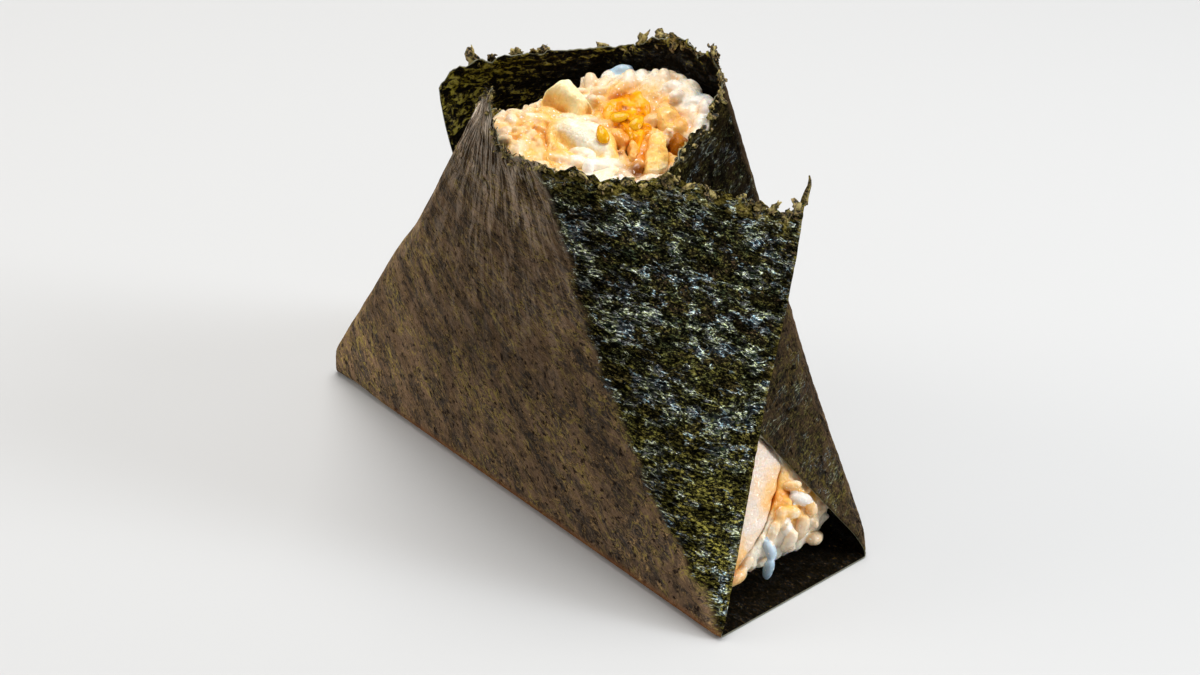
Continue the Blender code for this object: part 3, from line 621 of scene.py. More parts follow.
def seaweed_inner():
    """Wet and nearly black, flecked with yellow-green where it is thin, with painted brown-orange
    glints on the base.
    """
    material, tree, shader = new_material(
        "seaweed_inner", Specular_IOR_Level=0.02, Coat_Roughness=0.16, Coat_IOR=1.6)
    flat = flat_map(tree, "sheet")
    thin = painted(tree, "thin")
    base = painted(tree, "base")
    streaks = speckle(flat, (0.55, 0.9), 6, 0.7, 0.8)
    grit = speckle(flat, (1.8, 2.6), 3, 0.6)
    region = speckle(flat, (0.09, 0.14), 2)
    flecked = plus(streaks, span(thin, 0.0, 1.0, -0.03, 0.08))
    flecked = plus(flecked, span(grit, 0.4, 0.6, -0.03, 0.03))
    flecked = plus(flecked, span(region, 0.4, 0.6, -0.045, 0.008))
    flecked = minus(flecked, times(base, 0.035))
    # Painted brown-orange glints in small specks on the base.
    painted_warm_glints = times(times(base, span(grit, 0.60, 0.68)), span(streaks, 0.50, 0.62))
    tone = layered(
        (0.0035, 0.0028, 0.0012),
        (span(grit, 0.5, 0.62), (0.024, 0.015, 0.006)),
        (span(flecked, 0.56, 0.61), layered((0.12, 0.092, 0.004), (base, (0.09, 0.06, 0.006)))),
        (span(flecked, 0.61, 0.67), (0.44, 0.37, 0.04)),
        (painted_warm_glints, (0.22, 0.11, 0.03)))
    wet = times(minus(0.9, times(base, 0.6)), span(streaks, 0.5, 0.6))
    normal = raised(streaks, 1.2 * MM)
    set_inputs(shader, Base_Color=tone, Roughness=span(grit, 0.4, 0.6, 0.3, 0.5), Coat_Weight=wet,
               Coat_Normal=normal, Normal=raised(grit, 0.2 * MM, normal))
    return material


def seaweed_edge():
    material, tree, shader = new_material("seaweed_edge", Roughness=0.45)
    grit = speckle(object_space(tree), 1 / (0.5 * MM), 2)
    set_inputs(shader, Base_Color=layered((0.035, 0.035, 0.012), (grit, (0.26, 0.25, 0.15))))
    return material


def make_sheet():
    parts = [2 * i / SHEET_COLUMNS - 1 for i in range(SHEET_COLUMNS + 1)]
    torn = {(f, part): torn_height(f, part) for f in (-1, 1) for part in parts}
    shares = [i / PANEL_ROWS for i in range(PANEL_ROWS + 1)]
    under = [-BASE_REACH - (HALF - BASE_REACH) * (i + 1) / BASE_ROWS for i in range(BASE_ROWS)]
    rows = [(-1, share, None) for share in reversed(shares)]
    rows += [(-1, None, h) for h in (*FOLD_ROWS, *under)]
    rows += [(1, None, h) for h in (*reversed(under[:-1]), *reversed(FOLD_ROWS))]
    rows += [(1, share, None) for share in shares]
    bm = bmesh.new()
    facts = []
    grid = []
    for facing, share, level in rows:
        line = []
        for part in parts:
            h = level
            if level is None:
                h = BASE_REACH + (torn[(facing, part)] - BASE_REACH) * share
            u = sheet_column(facing, part, h)
            line.append(bm.verts.new(sheet_point(facing, u, h)))
            edge = side_reach(facing, 1 if part > 0 else -1, h) - abs(u)
            facts.append((facing, u, h, torn[(facing, part)] - h, edge))
        grid.append(line)
    skin_grid(bm, grid)
    bm.normal_update()
    crisp = [crispness(f, u, h) for f, u, h, _, _ in facts]
    lifts = [sheet_relief(f, u, h, c, below) for (f, u, h, below, _), c in zip(facts, crisp)]
    outward = 1 if grid[PANEL_ROWS // 2][SHEET_COLUMNS // 2].normal.y < 0 else -1
    moves = [v.normal * lift * outward for v, lift in zip(bm.verts, lifts)]
    for vert, move in zip(bm.verts, moves):
        vert.co += move
    if outward < 0:
        bmesh.ops.reverse_faces(bm, faces=bm.faces)
    maps = [sheet_maps(*fact[:3]) for fact in facts]
    layers = {name: bm.loops.layers.uv.new(name) for name in maps[0]}
    bm.verts.index_update()
    for face in bm.faces:
        for loop in face.loops:
            for name, place in maps[loop.vert.index].items():
                loop[layers[name]].uv = place
    obj = object_of(bm, "nori_sheet", SEAWEED_OUTER, SEAWEED_INNER, SEAWEED_EDGE)
    store(obj, "crisp", crisp)
    for name, values in zip(SHEET_LOOKS, zip(*(sheet_looks(*fact) for fact in facts))):
        store(obj, name, values)
    return thicken(obj, SEAWEED_THICKNESS, 1, 2)


SEAWEED_OUTER = seaweed_outer()
SEAWEED_INNER = seaweed_inner()
SEAWEED_EDGE = seaweed_edge()
sheet = make_sheet()
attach(sheet, "root")
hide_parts("nori_wrap")


# Torn bits of the same sheet: loose flakes along the bitten edge, a curled whisker at the corner
# of the front flap, and fine hairs at the peak of the front panel.
FLAKE_THICKNESS = 0.16 * MM
FLAKE_SEED = 21
FLAKES_PER_EDGE = {-1: 240, 1: 150}
FLAKES_FROM = {-1: -60 * MM, 1: -14 * MM}
# Panel, place on the sheet (u, h), length, width, turn in the sheet's plane from upright
# (degrees, positive towards +u), lean outwards and curl (degrees), and how blunt its tip is.
LARGE_FLAKES = (
    (-1, 53.2, 66.6, 2.4, 2.2, -20, 25, -40, 0.6),
    (-1, 50.6, 65.4, 1.8, 2.0, 10, 35, 30, 0.7),
    (-1, 48.0, 65.6, 2.2, 1.5, 10, 30, 20, 0.5),
    (-1, 45.5, 65.9, 1.6, 2.0, 35, 50, 40, 0.7),
    (1, -36.8, 65.6, 3.4, 2.6, -24, 15, 50, 0.45),
    (1, -34.9, 65.8, 2.6, 1.8, 24, 25, -40, 0.4),
    (1, -30.4, 66.8, 1.5, 2.2, -10, 30, 60, 0.8),
    (1, -27.6, 66.6, 1.7, 2.0, 20, 25, -60, 0.8),
    (1, -25.8, 66.6, 1.5, 2.0, -10, 35, 50, 0.8),
    (1, -16.6, 65.4, 1.3, 2.2, 10, 30, 60, 0.9),
    (1, -9.0, 67.4, 2.2, 2.6, -25, 20, 50, 0.8),
    (1, -6.4, 68.6, 2.2, 2.8, 10, 30, 60, 0.8),
    (1, -4.2, 69.2, 1.8, 2.4, 25, 20, -50, 0.7),
    (1, -2.4, 69.0, 3.4, 1.2, 72, 5, -40, 0.3),
    (1, 1.0, 68.0, 1.8, 2.2, -20, 35, 50, 0.8),
    (1, 4.4, 69.4, 2.0, 2.4, 25, 25, -50, 0.7),
    (1, 6.6, 70.4, 2.8, 1.8, -6, 0, -30, 0.4),
    (1, 8.2, 69.0, 2.4, 1.6, 55, 0, -35, 0.3),
    (1, 10.2, 68.2, 2.0, 1.4, 30, -20, 60, 0.6),
    (-1, 27.0, 65.4, 2.2, 2.2, 40, 35, 60, 0.8),
    (-1, 31.5, 65.4, 1.8, 2.4, -30, 40, 60, 0.8),
    (-1, 36.0, 65.2, 1.6, 2.2, 20, 30, -50, 0.8),
    (-1, 20.0, 63.4, 1.7, 2.2, -10, 30, 60, 0.8),
    (-1, 13.0, 62.6, 1.4, 2.0, 30, 35, 60, 0.9),
    (-1, 6.0, 61.6, 1.3, 2.2, -30, 30, 50, 0.9),
)
# The whisker at the free corner of the front flap: a thin strip that rises and sways to the right.
WHISKER_BASE = (55.0, 68.6)
WHISKER = ((0.0, 0.0), (0.1, 1.5), (0.5, 3.0), (0.9, 4.2), (0.9, 5.4), (0.6, 6.4))
WHISKER_WIDTH = 1.3 * MM
# Fibres at the front peak: how many, where along the torn edge and how long.
HAIRS = 70
HAIR_SPAN = (-8.0 * MM, -0.5 * MM)
HAIR_LENGTH = (0.5 * MM, 1.5 * MM)
HAIR_WIDTH = 0.18 * MM
# The small scraps that lie along the torn edges.
SCRAP_SEED = 3
SCRAP_CORNERS = 7
SCRAP_RADIUS = 0.5 * MM
SCRAP_THICKNESS = 0.14 * MM
SCRAP_BEND = 0.25 * MM


def sheet_frame(facing, u, h, turn, lean):
    """Frame at a point of the sheet: x along the growth, z outwards."""
    step = 0.2 * MM
    place = sheet_point(facing, u, h)
    across = (sheet_point(facing, u + step, h) - sheet_point(facing, u - step, h)).normalized()
    up = (sheet_point(facing, u, h + step) - sheet_point(facing, u, h - step)).normalized()
    outward = across.cross(up) * -facing
    growth = up * math.cos(turn) + across * math.sin(turn)
    growth = growth * math.cos(lean) + outward * math.sin(lean)
    side = outward.cross(growth).normalized()
    basis = Matrix((growth, side, growth.cross(side))).transposed().to_4x4()
    basis.translation = place
    return basis


def grow_flake(bm, basis, length, width, curl, rng, steps=7, blunt=0.12):
    """A thin torn piece: wide at its root, ragged and crumpled, curling as it goes."""
    spots = []
    for i in range(steps + 1):
        t = i / steps
        bend = curl * t * t / 2
        middle = Vector((length * t * math.cos(bend), 0, length * t * math.sin(bend)))
        half = width / 2 * ((1 - t) ** 0.7 * (1 - blunt) + blunt)
        sway = 0.12 * width * rng.uniform(-1, 1) * (i > 0)
        line = []
        for share in (-1, -0.5, 0, 0.5, 1):
            ragged = rng.uniform(0.7, 1.2)
            jag = 0.25 * blunt * length * rng.uniform(-1, 1) * (i == steps)
            lift = 0.12 * width * (abs(share) + rng.uniform(-0.7, 0.7) * (i > 0))
            line.append(middle + Vector((jag, half * share * ragged + sway, lift)))
        spots.append(line)
    skin_grid(bm, [[bm.verts.new(basis @ spot) for spot in line] for line in spots])


def grow_whisker(bm):
    """A narrow strip that starts in the corner of the flap and rises nearly straight up."""
    root = sheet_point(-1, WHISKER_BASE[0] * MM, WHISKER_BASE[1] * MM)
    across = Vector((0.7, 0.72, 0.0)).normalized()
    lines = []
    for i, (sway, rise) in enumerate(WHISKER):
        half = WHISKER_WIDTH / 2 * (1 - 0.8 * i / (len(WHISKER) - 1))
        middle = root + across * sway * 0.6 * MM + Vector((0, 0, rise * 0.8 * MM))
        lines.append([bm.verts.new(middle + across * half * side) for side in (-1, 0, 1)])
    skin_grid(bm, lines)


def flake_material():
    material, tree, shader = new_material("seaweed_flake", Specular_IOR_Level=0.2)
    lumps = speckle(object_space(tree), 1 / (1.1 * MM), 4, 0.6)
    grit = speckle(object_space(tree), 1 / (0.35 * MM), 2, 0.6)
    tone = layered(
        (0.012, 0.011, 0.005), (span(lumps, 0.44, 0.56), (0.16, 0.125, 0.02)),
        (span(lumps, 0.52, 0.60), (0.46, 0.37, 0.13)),
        (span(grit, 0.52, 0.6, 0.0, 0.7), (0.40, 0.27, 0.12)))
    set_inputs(shader, Base_Color=tone, Roughness=span(grit, 0.3, 0.7, 0.25, 0.5),
               Normal=raised(lumps, 0.3 * MM))
    return material


SEAWEED_FLAKE = flake_material()


def make_large_flakes():
    rng = random.Random(FLAKE_SEED)
    bm = bmesh.new()
    for facing, u, h, length, width, turn, lean, curl, blunt in LARGE_FLAKES:
        basis = sheet_frame(facing, u * MM, h * MM, math.radians(turn), math.radians(lean))
        grow_flake(bm, basis, length * MM, width * MM, math.radians(curl), rng, blunt=blunt)
    grow_whisker(bm)
    for _ in range(HAIRS):
        u = rng.uniform(*HAIR_SPAN)
        edge = read_profile(FRONT_TEAR, u / MM) * MM
        basis = sheet_frame(-1, u, edge - rng.uniform(0, 1.2) * MM, rng.uniform(-0.7, 1.3),
                            rng.uniform(-0.5, 0.7))
        grow_flake(bm, basis, rng.uniform(*HAIR_LENGTH), HAIR_WIDTH, rng.uniform(-1, 1), rng, 4)
    return thicken(object_of(bm, "torn_flakes", SEAWEED_FLAKE), FLAKE_THICKNESS)


large_flakes = make_large_flakes()
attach(large_flakes, "root")


def repeat_tree(name, material):
    """Nodes that put a shape on every point, turned and sized by the points' own values."""
    tree = bpy.data.node_groups.new(name, "GeometryNodeTree")
    for label, way, kind in (("Points", "INPUT", "Geometry"), ("Shape", "INPUT", "Object"),
                             ("Size", "INPUT", "Float"), ("Result", "OUTPUT", "Geometry")):
        tree.interface.new_socket(label, in_out=way, socket_type="NodeSocket" + kind)
    given = tree.nodes.new("NodeGroupInput").outputs
    turn, size = (node(tree, "GeometryNodeInputNamedAttribute", {"data_type": "FLOAT_VECTOR"},
                       Name=key).outputs["Attribute"] for key in ("turn", "size"))
    rotation = node(tree, "FunctionNodeEulerToRotation", Euler=turn).outputs["Rotation"]
    source = node(tree, "GeometryNodeObjectInfo", Object=given["Shape"]).outputs["Geometry"]
    placed = node(tree, "GeometryNodeInstanceOnPoints", Points=given["Points"], Instance=source,
                  Rotation=rotation, Scale=scaled(size, given["Size"])).outputs["Instances"]
    solid = node(tree, "GeometryNodeRealizeInstances", Geometry=placed).outputs["Geometry"]
    coated = node(tree, "GeometryNodeSetMaterial", Geometry=solid, Material=material)
    plug(tree.nodes.new("NodeGroupOutput").inputs["Result"], coated.outputs["Geometry"])
    return tree


def repeat_shape(name, shape, points, material):
    """One mesh of a shape at many places; points are (place, euler, size as a vector)."""
    mesh = bpy.data.meshes.new(name)
    mesh.from_pydata([p for p, _, _ in points], [], [])
    for index, key in ((1, "turn"), (2, "size")):
        layer = mesh.attributes.new(key, "FLOAT_VECTOR", "POINT")
        layer.data.foreach_set("vector", [c for point in points for c in point[index]])
    obj = link_object(name, mesh)
    modifier = obj.modifiers.new("layout", "NODES")
    modifier.node_group = repeat_tree(name + "_layout", material)
    sockets = {item.name: item.identifier for item in modifier.node_group.interface.items_tree
               if item.in_out == "INPUT"}
    modifier[sockets["Shape"]] = shape
    modifier[sockets["Size"]] = 1.0
    bake_modifiers(obj)
    bpy.data.objects.remove(shape)
    return shade_round(obj)


def skin_rings(bm, rings, first, last):
    """Faces round a stack of rings, closed by a point at each end."""
    for i in range(len(rings[0])):
        j = (i + 1) % len(rings[0])
        bm.faces.new((first, rings[0][i], rings[0][j]))
        bm.faces.new((last, rings[-1][j], rings[-1][i]))
        for a, b in zip(rings, rings[1:]):
            bm.faces.new((a[i], b[i], b[j], a[j]))
    bmesh.ops.recalc_face_normals(bm, faces=bm.faces)


def crumb_shape():
    """A small torn scrap, as a bent irregular plate about 1 mm across."""
    bm = bmesh.new()
    rng = random.Random(SCRAP_SEED)
    rim = []
    for i in range(SCRAP_CORNERS):
        turn = 2 * math.pi * i / SCRAP_CORNERS
        reach = SCRAP_RADIUS * rng.uniform(0.6, 1.15)
        x, y = reach * math.cos(turn), reach * math.sin(turn) * 0.75
        rim.append((x, y, SCRAP_BEND * (x * x - y * y) / SCRAP_RADIUS ** 2))
    lifts = (SCRAP_THICKNESS / 2, -SCRAP_THICKNESS / 2)
    rings = [[bm.verts.new((x, y, z + lift)) for x, y, z in rim] for lift in lifts]
    middles = [bm.verts.new((0, 0, lift)) for lift in lifts]
    skin_rings(bm, rings, *middles)
    return object_of(bm, "scrap")


def make_scraps():
    rng = random.Random(FLAKE_SEED + 1)
    points = []
    for facing, count in FLAKES_PER_EDGE.items():
        for _ in range(count):
            part = rng.uniform(-1, 1)
            top = torn_height(facing, part)
            h = top - abs(rng.gauss(0, 0.8)) * MM
            u = sheet_column(facing, part, h)
            if u < FLAKES_FROM[facing]:
                continue
            basis = sheet_frame(facing, u, h, rng.uniform(-1.5, 1.5), rng.uniform(-0.9, 0.9))
            scale = rng.choice((0.6, 0.8, 1.0, 1.3, 1.7))
            points.append((basis.translation, basis.to_euler(),
                           (scale * rng.uniform(0.8, 1.6), scale, scale)))
    return repeat_shape("torn_scraps", crumb_shape(), points, SEAWEED_FLAKE)


scraps = make_scraps()
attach(scraps, "root")


# The rice: a pressed block of cooked grains, stuck together by their own starch.
# Sauce has stained it cream and orange round the filling; the far right of the bite is white.
RICE_VOXEL = 0.5 * MM
RICE_SOFTENING = 5
CRUMB_HEIGHT = 0.22 * MM
# The tip of the rice by the front peak, pressed a little lower.
PRESSED_TIP = Vector((-10.4, -12.2, 64.6)) * MM
PRESSED_BY = 1.3 * MM
PRESSED_REACH = 2.0 * MM
# Sauce stain: centre in mm, reach in mm and strength.
STAINS = (
    (-4.6, 7.2, 62.4, 2.3, 1.0), (-2.5, 4.0, 61.8, 3.0, 0.95), (1.0, 3.0, 61.8, 3.0, 0.95),
    (4.5, 1.5, 61.5, 2.6, 0.9), (-3.6, 10.5, 63.8, 2.4, 0.2), (0.5, 9.5, 63.0, 3.2, 0.62),
    (5.5, 7.5, 63.0, 3.4, 0.62), (9.8, 1.2, 61.0, 4.2, 0.72),
    (5.9, 7.8, 63.4, 3.0, 0.6), (10.5, -2.4, 59.0, 1.8, 1.0),
    (7.2, 0.8, 61.0, 1.9, 0.95), (8.8, -1.0, 60.4, 1.5, 0.95), (3.2, -0.4, 61.8, 2.0, 0.8),
    (6.2, -2.8, 60.2, 1.4, 0.7), (-4.0, -10.4, 61.2, 4.0, 0.5), (-0.8, -14.5, 60.1, 3.8, 0.5),
    (-6.5, -13.0, 62.0, 3.8, 0.5), (-6.5, -6.5, 62.3, 3.4, 0.42), (-9.5, -2.0, 62.5, 4.0, 0.3),
    (-9.5, 7.0, 62.0, 3.0, 0.3),
    (9.8, 8.6, 62.3, 2.2, 0.25), (4.3, -13.0, 60.5, 2.8, 0.36), (1.4, -11.1, 61.8, 2.0, 0.3),
    (-3.6, -0.2, 63.2, 2.0, 0.5), (-7.5, -4.5, 62.9, 2.6, 0.5), (5.6, -2.4, 61.3, 2.0, 0.3),
    (39.3, 3.1, 12.9, 3.8, 0.92), (40.5, 4.5, 9.5, 2.6, 0.4), (41.0, 9.0, 11.5, 3.2, 0.5),
    (42.8, -8.2, 7.8, 3.0, 0.6), (43.6, -9.5, 5.8, 2.4, 0.8))
# Painted shade in the deep crevices between the pieces: centre and reach in mm.
CREVICE_SHADE_SPOTS = ((11.0, -3.4, 59.4, 2.0), (6.4, -3.0, 60.4, 0.8))
# How far sunk a point has to lie before painted shade darkens it, and how dark that painted shade
# gets.
CREASE_SHADE_FROM = 0.8
CREASE_SHADE_STRENGTH = 0.65


def nearness(place, spot, reach):
    """1 at a spot given in mm, fading to 0 beyond its reach."""
    away = (place / MM - Vector(spot)).length / reach
    return math.exp(-away * away)


def stain_at(place):
    """How strongly sauce has stained a spot, 0 to 1."""
    clean = 1.0
    for x, y, z, reach, strength in STAINS:
        clean *= 1 - strength * nearness(place, (x, y, z), reach)
    return 1 - clean


def crevice_shade_at(place):
    return max(nearness(place, (x, y, z), reach) for x, y, z, reach in CREVICE_SHADE_SPOTS)


def at_points(obj, rule):
    """What a rule says of each point of an object."""
    return [rule(vert.co) for vert in obj.data.vertices]


def creases(obj, rounds, depth):
    """How deep each point lies in a crease: below 0 on ridges, 1 at the given depth."""
    mesh = obj.data
    count = len(mesh.vertices)
    places = np.empty(3 * count)
    mesh.vertices.foreach_get("co", places)
    places = places.reshape(-1, 3)
    normals = np.empty(3 * count)
    mesh.vertices.foreach_get("normal", normals)
    edges = np.empty(2 * len(mesh.edges), dtype=np.int64)
    mesh.edges.foreach_get("vertices", edges)
    ends = np.concatenate((edges[0::2], edges[1::2]))
    others = np.concatenate((edges[1::2], edges[0::2]))
    share = np.bincount(ends, minlength=count).clip(1)
    eased = places.copy()
    for _ in range(rounds):
        eased = np.stack([np.bincount(ends, eased[others, k], count) / share for k in range(3)], 1)
    return ((eased - places) * normals.reshape(-1, 3)).sum(1) / depth


def stain_creases(obj, rounds, depth, strength):
    """Store the stain on a piece, deeper in its creases for run-in sauce and painted shade, and its
    painted crease shade.
    """
    stains = np.array(at_points(obj, stain_at))
    sunk = creases(obj, rounds, depth)
    store(obj, "stain", 1 - (1 - stains) * (1 - strength * np.clip(sunk, 0, 1)))
    crease_shades = CREASE_SHADE_STRENGTH * np.clip(sunk - CREASE_SHADE_FROM, 0, 1)
    store(obj, "crease_shade", np.maximum(crease_shades, np.array(at_points(obj, crevice_shade_at))))


def food_material(name, tones, roughness, bump, radius):
    """Moist food that light sinks into, coloured by its stain and its painted crease shade, with
    small wet beads.
    """
    material, tree, shader = new_material(
        name, Subsurface_Weight=0.35, Subsurface_Radius=(1.0, 0.5, 0.25), Subsurface_Scale=radius,
        Specular_IOR_Level=0.3, Coat_Roughness=0.06, Coat_IOR=1.7)
    place = object_space(tree)
    cloud = speckle(place, 1 / (2.6 * MM), 4, 0.6)
    grain = speckle(place, 1 / (0.6 * MM))
    beads = speckle(place, 1 / (0.55 * MM), 1, 0.5)
    uneven = plus(painted(tree, "stain"), span(cloud, 0.4, 0.6, -0.15, 0.15))
    pale, stained, deep = tones
    # Painted shade darkens the deepest creases and the crevices between pieces to dark brown.
    tone = layered(pale, (span(uneven, 0.04, 0.55), stained), (span(uneven, 0.6, 1.0), deep),
                   (painted(tree, "crease_shade"), (0.22, 0.055, 0.0)))
    normal = raised(grain, bump)
    set_inputs(shader, Base_Color=tone, Normal=normal,
               Roughness=span(grain, 0.4, 0.6, roughness - 0.08, roughness + 0.1),
               Coat_Normal=raised(beads, 0.4 * MM, normal), Coat_Weight=span(beads, 0.48, 0.6))
    return material, tree, shader


# Pale, stained and deeply stained.
RICE_TONES = ((0.90, 0.80, 0.64), (0.88, 0.48, 0.10), (0.80, 0.27, 0.018))
COOKED_RICE, _, _ = food_material("cooked_rice", RICE_TONES, 0.34, 0.2 * MM, 0.5 * MM)


def copy_of(obj):
    """An object's mesh as a bmesh."""
    bm = bmesh.new()
    bm.from_mesh(obj.data)
    return bm


def cad_copy(name, new_name):
    """A closed copy of a solid of the part."""
    bm = copy_of(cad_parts[name])
    bmesh.ops.remove_doubles(bm, verts=bm.verts, dist=0.001 * MM)
    return object_of(bm, new_name)


def join_meshes(obj, other):
    """Add another object's mesh to an object and remove that object."""
    bm = copy_of(obj)
    bm.from_mesh(other.data)
    bm.to_mesh(obj.data)
    bm.free()
    bpy.data.objects.remove(other)


def melt_together(obj, voxel, rounds, material):
    """Join overlapping shapes into one skin with softened creases."""
    remesh = obj.modifiers.new("remesh", "REMESH")
    remesh.mode = "VOXEL"
    remesh.voxel_size = voxel
    soften = obj.modifiers.new("soften", "SMOOTH")
    soften.iterations = rounds
    bake_modifiers(obj)
    obj.data.materials.clear()
    obj.data.materials.append(material)
    return shade_round(obj)


def crumple(obj, height, coarse, fine):
    """Add crumbly relief along the normals."""
    moves = []
    for vert in obj.data.vertices:
        crumb = noise.noise(vert.co / coarse) + 0.5 * noise.noise(vert.co / fine)
        moves.append(vert.normal * height * crumb)
    for vert, move in zip(obj.data.vertices, moves):
        vert.co += move


rice_core = cad_copy("rice_block", "rice_core")
melt_together(rice_core, RICE_VOXEL, RICE_SOFTENING, COOKED_RICE)
crumple(rice_core, CRUMB_HEIGHT, 1.5 * MM, 0.8 * MM)
for vert in rice_core.data.vertices:
    away = (vert.co - PRESSED_TIP).length / PRESSED_REACH
    vert.co.z -= PRESSED_BY * math.exp(-away * away)
stain_creases(rice_core, 12, 0.5 * MM, 0.5)
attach(rice_core, "root")
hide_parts("rice_block")


# The chicken: torn and cut pieces of pale cooked meat with fine fibres, wet with sauce.
# Each has a low uneven top and goes down into the rice; one small piece is under dark glaze.
CHICKEN = {
    "chicken_slab": (
        (3.5, -6.3, 61.4), (0.27, -0.05, 0.962), 6.5,
        ((-8.5, -0.2), (-6.2, 3.2), (-4.2, 5.2), (-2.0, 5.9), (0.2, 5.4), (3.4, 3.4), (5.0, 2.6),
         (6.4, 1.0), (6.9, -1.2), (5.4, -3.9), (3.3, -6.3), (0.7, -7.4), (-1.9, -7.2),
         (-4.3, -4.4), (-6.9, -2.8))),
    "chicken_chunk": (
        (-6.1, -2.5, 64.1), (0.549, -0.549, 0.629), 4.0,
        ((-3.5, -2.8), (-3.6, 0.2), (-3.0, 1.9), (-2.0, 3.2), (-0.3, 2.7), (1.9, 2.2), (3.9, 1.4),
         (4.6, 0.4), (2.9, -0.9), (-0.6, -2.8), (-2.4, -3.3))),
    "chicken_strip": (
        (10.3, 1.3, 60.5), (0.406, -0.058, 0.912), 6.0,
        ((-2.6, 0.2), (-3.8, 2.0), (-3.6, 4.3), (-0.6, 2.6), (1.7, 1.3), (3.1, -0.5), (3.0, -2.7),
         (2.0, -4.2), (0.4, -2.9), (-0.9, -1.6))),
    "chicken_lump": (
        (5.9, 7.8, 63.2), (0.288, 0.043, 0.957), 3.6,
        ((-2.9, -0.6), (-2.6, 2.2), (-0.5, 2.6), (1.6, 1.4), (2.6, -0.8), (1.8, -1.9),
         (-0.2, -2.1))),
    "chicken_small": (
        (7.6, -1.0, 61.2), (0.421, -0.2, 0.884), 3.0,
        ((-1.7, 0.9), (-0.8, 1.3), (0.4, 0.5), (1.4, -0.6), (2.1, -1.7), (1.1, -1.8), (0.0, -1.0),
         (-1.1, -0.1))),
    "chicken_glazed": (
        (10.9, 5.6, 61.6), (0.414, 0.059, 0.908), 2.8,
        ((-2.2, 0.5), (-1.2, 1.4), (0.6, 1.2), (1.5, 0.2), (1.6, -0.9), (0.1, -1.2),
         (-1.4, -0.6))),
}
# Lumps and creases on a piece's top: place on it, reach and height in mm.
MEAT_RELIEF = {
    "chicken_slab": (
        (-5.2, 0.2, 2.2, 0.5), (-2.8, 1.2, 2.4, 0.6), (-0.4, 3.4, 2.2, 0.5), (2.6, 1.4, 1.8, 0.3),
        (-4.8, -2.3, 1.0, -1.0), (-3.4, -2.4, 1.0, -1.2), (-1.9, -2.1, 1.0, -1.2),
        (-0.6, -1.5, 1.0, -1.2), (0.8, -0.6, 0.9, -1.1), (2.0, 0.4, 0.9, -1.0),
        (3.6, 1.6, 0.9, -1.0), (-1.9, -5.2, 3.0, -0.9), (1.6, -4.6, 3.0, -0.9),
        (3.6, -2.6, 2.6, -0.7)),
    "chicken_chunk": (
        (-2.4, 1.2, 1.4, 0.6), (-0.6, 1.2, 1.4, 0.7), (1.4, 0.8, 1.4, 0.5), (-2.2, -2.0, 1.6, -1.2),
        (0.2, -1.8, 1.4, -1.0), (3.6, 0.6, 1.4, -0.9)),
    "chicken_strip": (
        (-2.4, 2.6, 1.6, 0.3), (-0.4, 0.4, 1.6, 0.3), (1.6, -1.6, 1.6, 0.3)),
    "chicken_lump": ((-0.6, 0.4, 1.4, 0.7), (1.0, -0.6, 0.8, -0.4)),
    "chicken_glazed": ((0.2, 0.0, 0.8, 0.4),),
}
# How far out a piece's top stays level before it rounds over.
ROUNDED_FROM = {"chicken_chunk": 0.95, "chicken_strip": 0.88}
ROUNDED_USUALLY = 0.78
# The slice in the open triangle: just under the slanted face, its outline up the slant.
SLICE_TOP = -0.65 * MM
SLICE_DEPTH = 4.5
SLICE_ROUNDED_FROM = 0.9
SLICE_RELIEF = 0.35
SLICE_OUTLINE = (
    (27.0, 2.2), (20.2, 6.6), (15.6, 2.7), (11.9, -0.8), (10.4, -3.6), (8.9, -6.2), (8.0, -9.4),
    (10.0, -12.6), (16.5, -11.0), (24.5, -5.5))
# Every piece is a stack of rings, from the middle of its top over its edge to its foot.
PIECE_RIM = 96
PIECE_RINGS = 20
EDGE_RINGS = 8
CROWN = 0.3
CROWN_DROP = 0.25
ROUNDED_DROP = 1.5
PIECE_FOOT = 0.8
PIECE_RELIEF = 0.26 * MM
RIM_WOBBLE = 0.3 * MM
RIM_EASING = 6


def chicken_material(name, *tones, fibre_height=0.12 * MM):
    """Pale meat with long fine fibres, browner in its creases from sauce and painted shade."""
    material, tree, shader = food_material(name, tones, 0.34, 0.16 * MM, 0.5 * MM)
    fibres = speckle(flat_map(tree, "meat"), (2.6, 0.5), 4, 0.6, 0.5)
    base, under = (shader.inputs[key].links[0].from_socket for key in ("Base Color", "Normal"))
    set_inputs(shader, Base_Color=layered(base, (span(fibres, 0.52, 0.66, 0.0, 0.28), tones[1])),
               Normal=raised(fibres, fibre_height, under))
    return material


COOKED_CHICKEN = chicken_material("cooked_chicken", (0.98, 0.87, 0.68), (0.94, 0.58, 0.15),
                                  (0.82, 0.30, 0.02))
YELLOW_CHICKEN = chicken_material("yellow_chicken", (1.0, 0.88, 0.54), (0.98, 0.66, 0.22),
                                  (0.84, 0.40, 0.06))
# The slice in the open end is a darker, pinker copy: the darkness is painted shade, the pink its own
# colour.
SHADED_SIDE_CHICKEN = chicken_material("shaded_side_chicken", (0.80, 0.66, 0.54), (0.86, 0.50, 0.17),
                                (0.72, 0.24, 0.02), fibre_height=0.06 * MM)
GLAZED_CHICKEN = chicken_material("glazed_chicken", (0.30, 0.070, 0.001), (0.46, 0.15, 0.002),
                                  (0.12, 0.022, 0.001))
set_inputs(GLAZED_CHICKEN.node_tree.nodes["Principled BSDF"], Subsurface_Weight=0.0,
           Specular_IOR_Level=0.05, Coat_IOR=1.45)


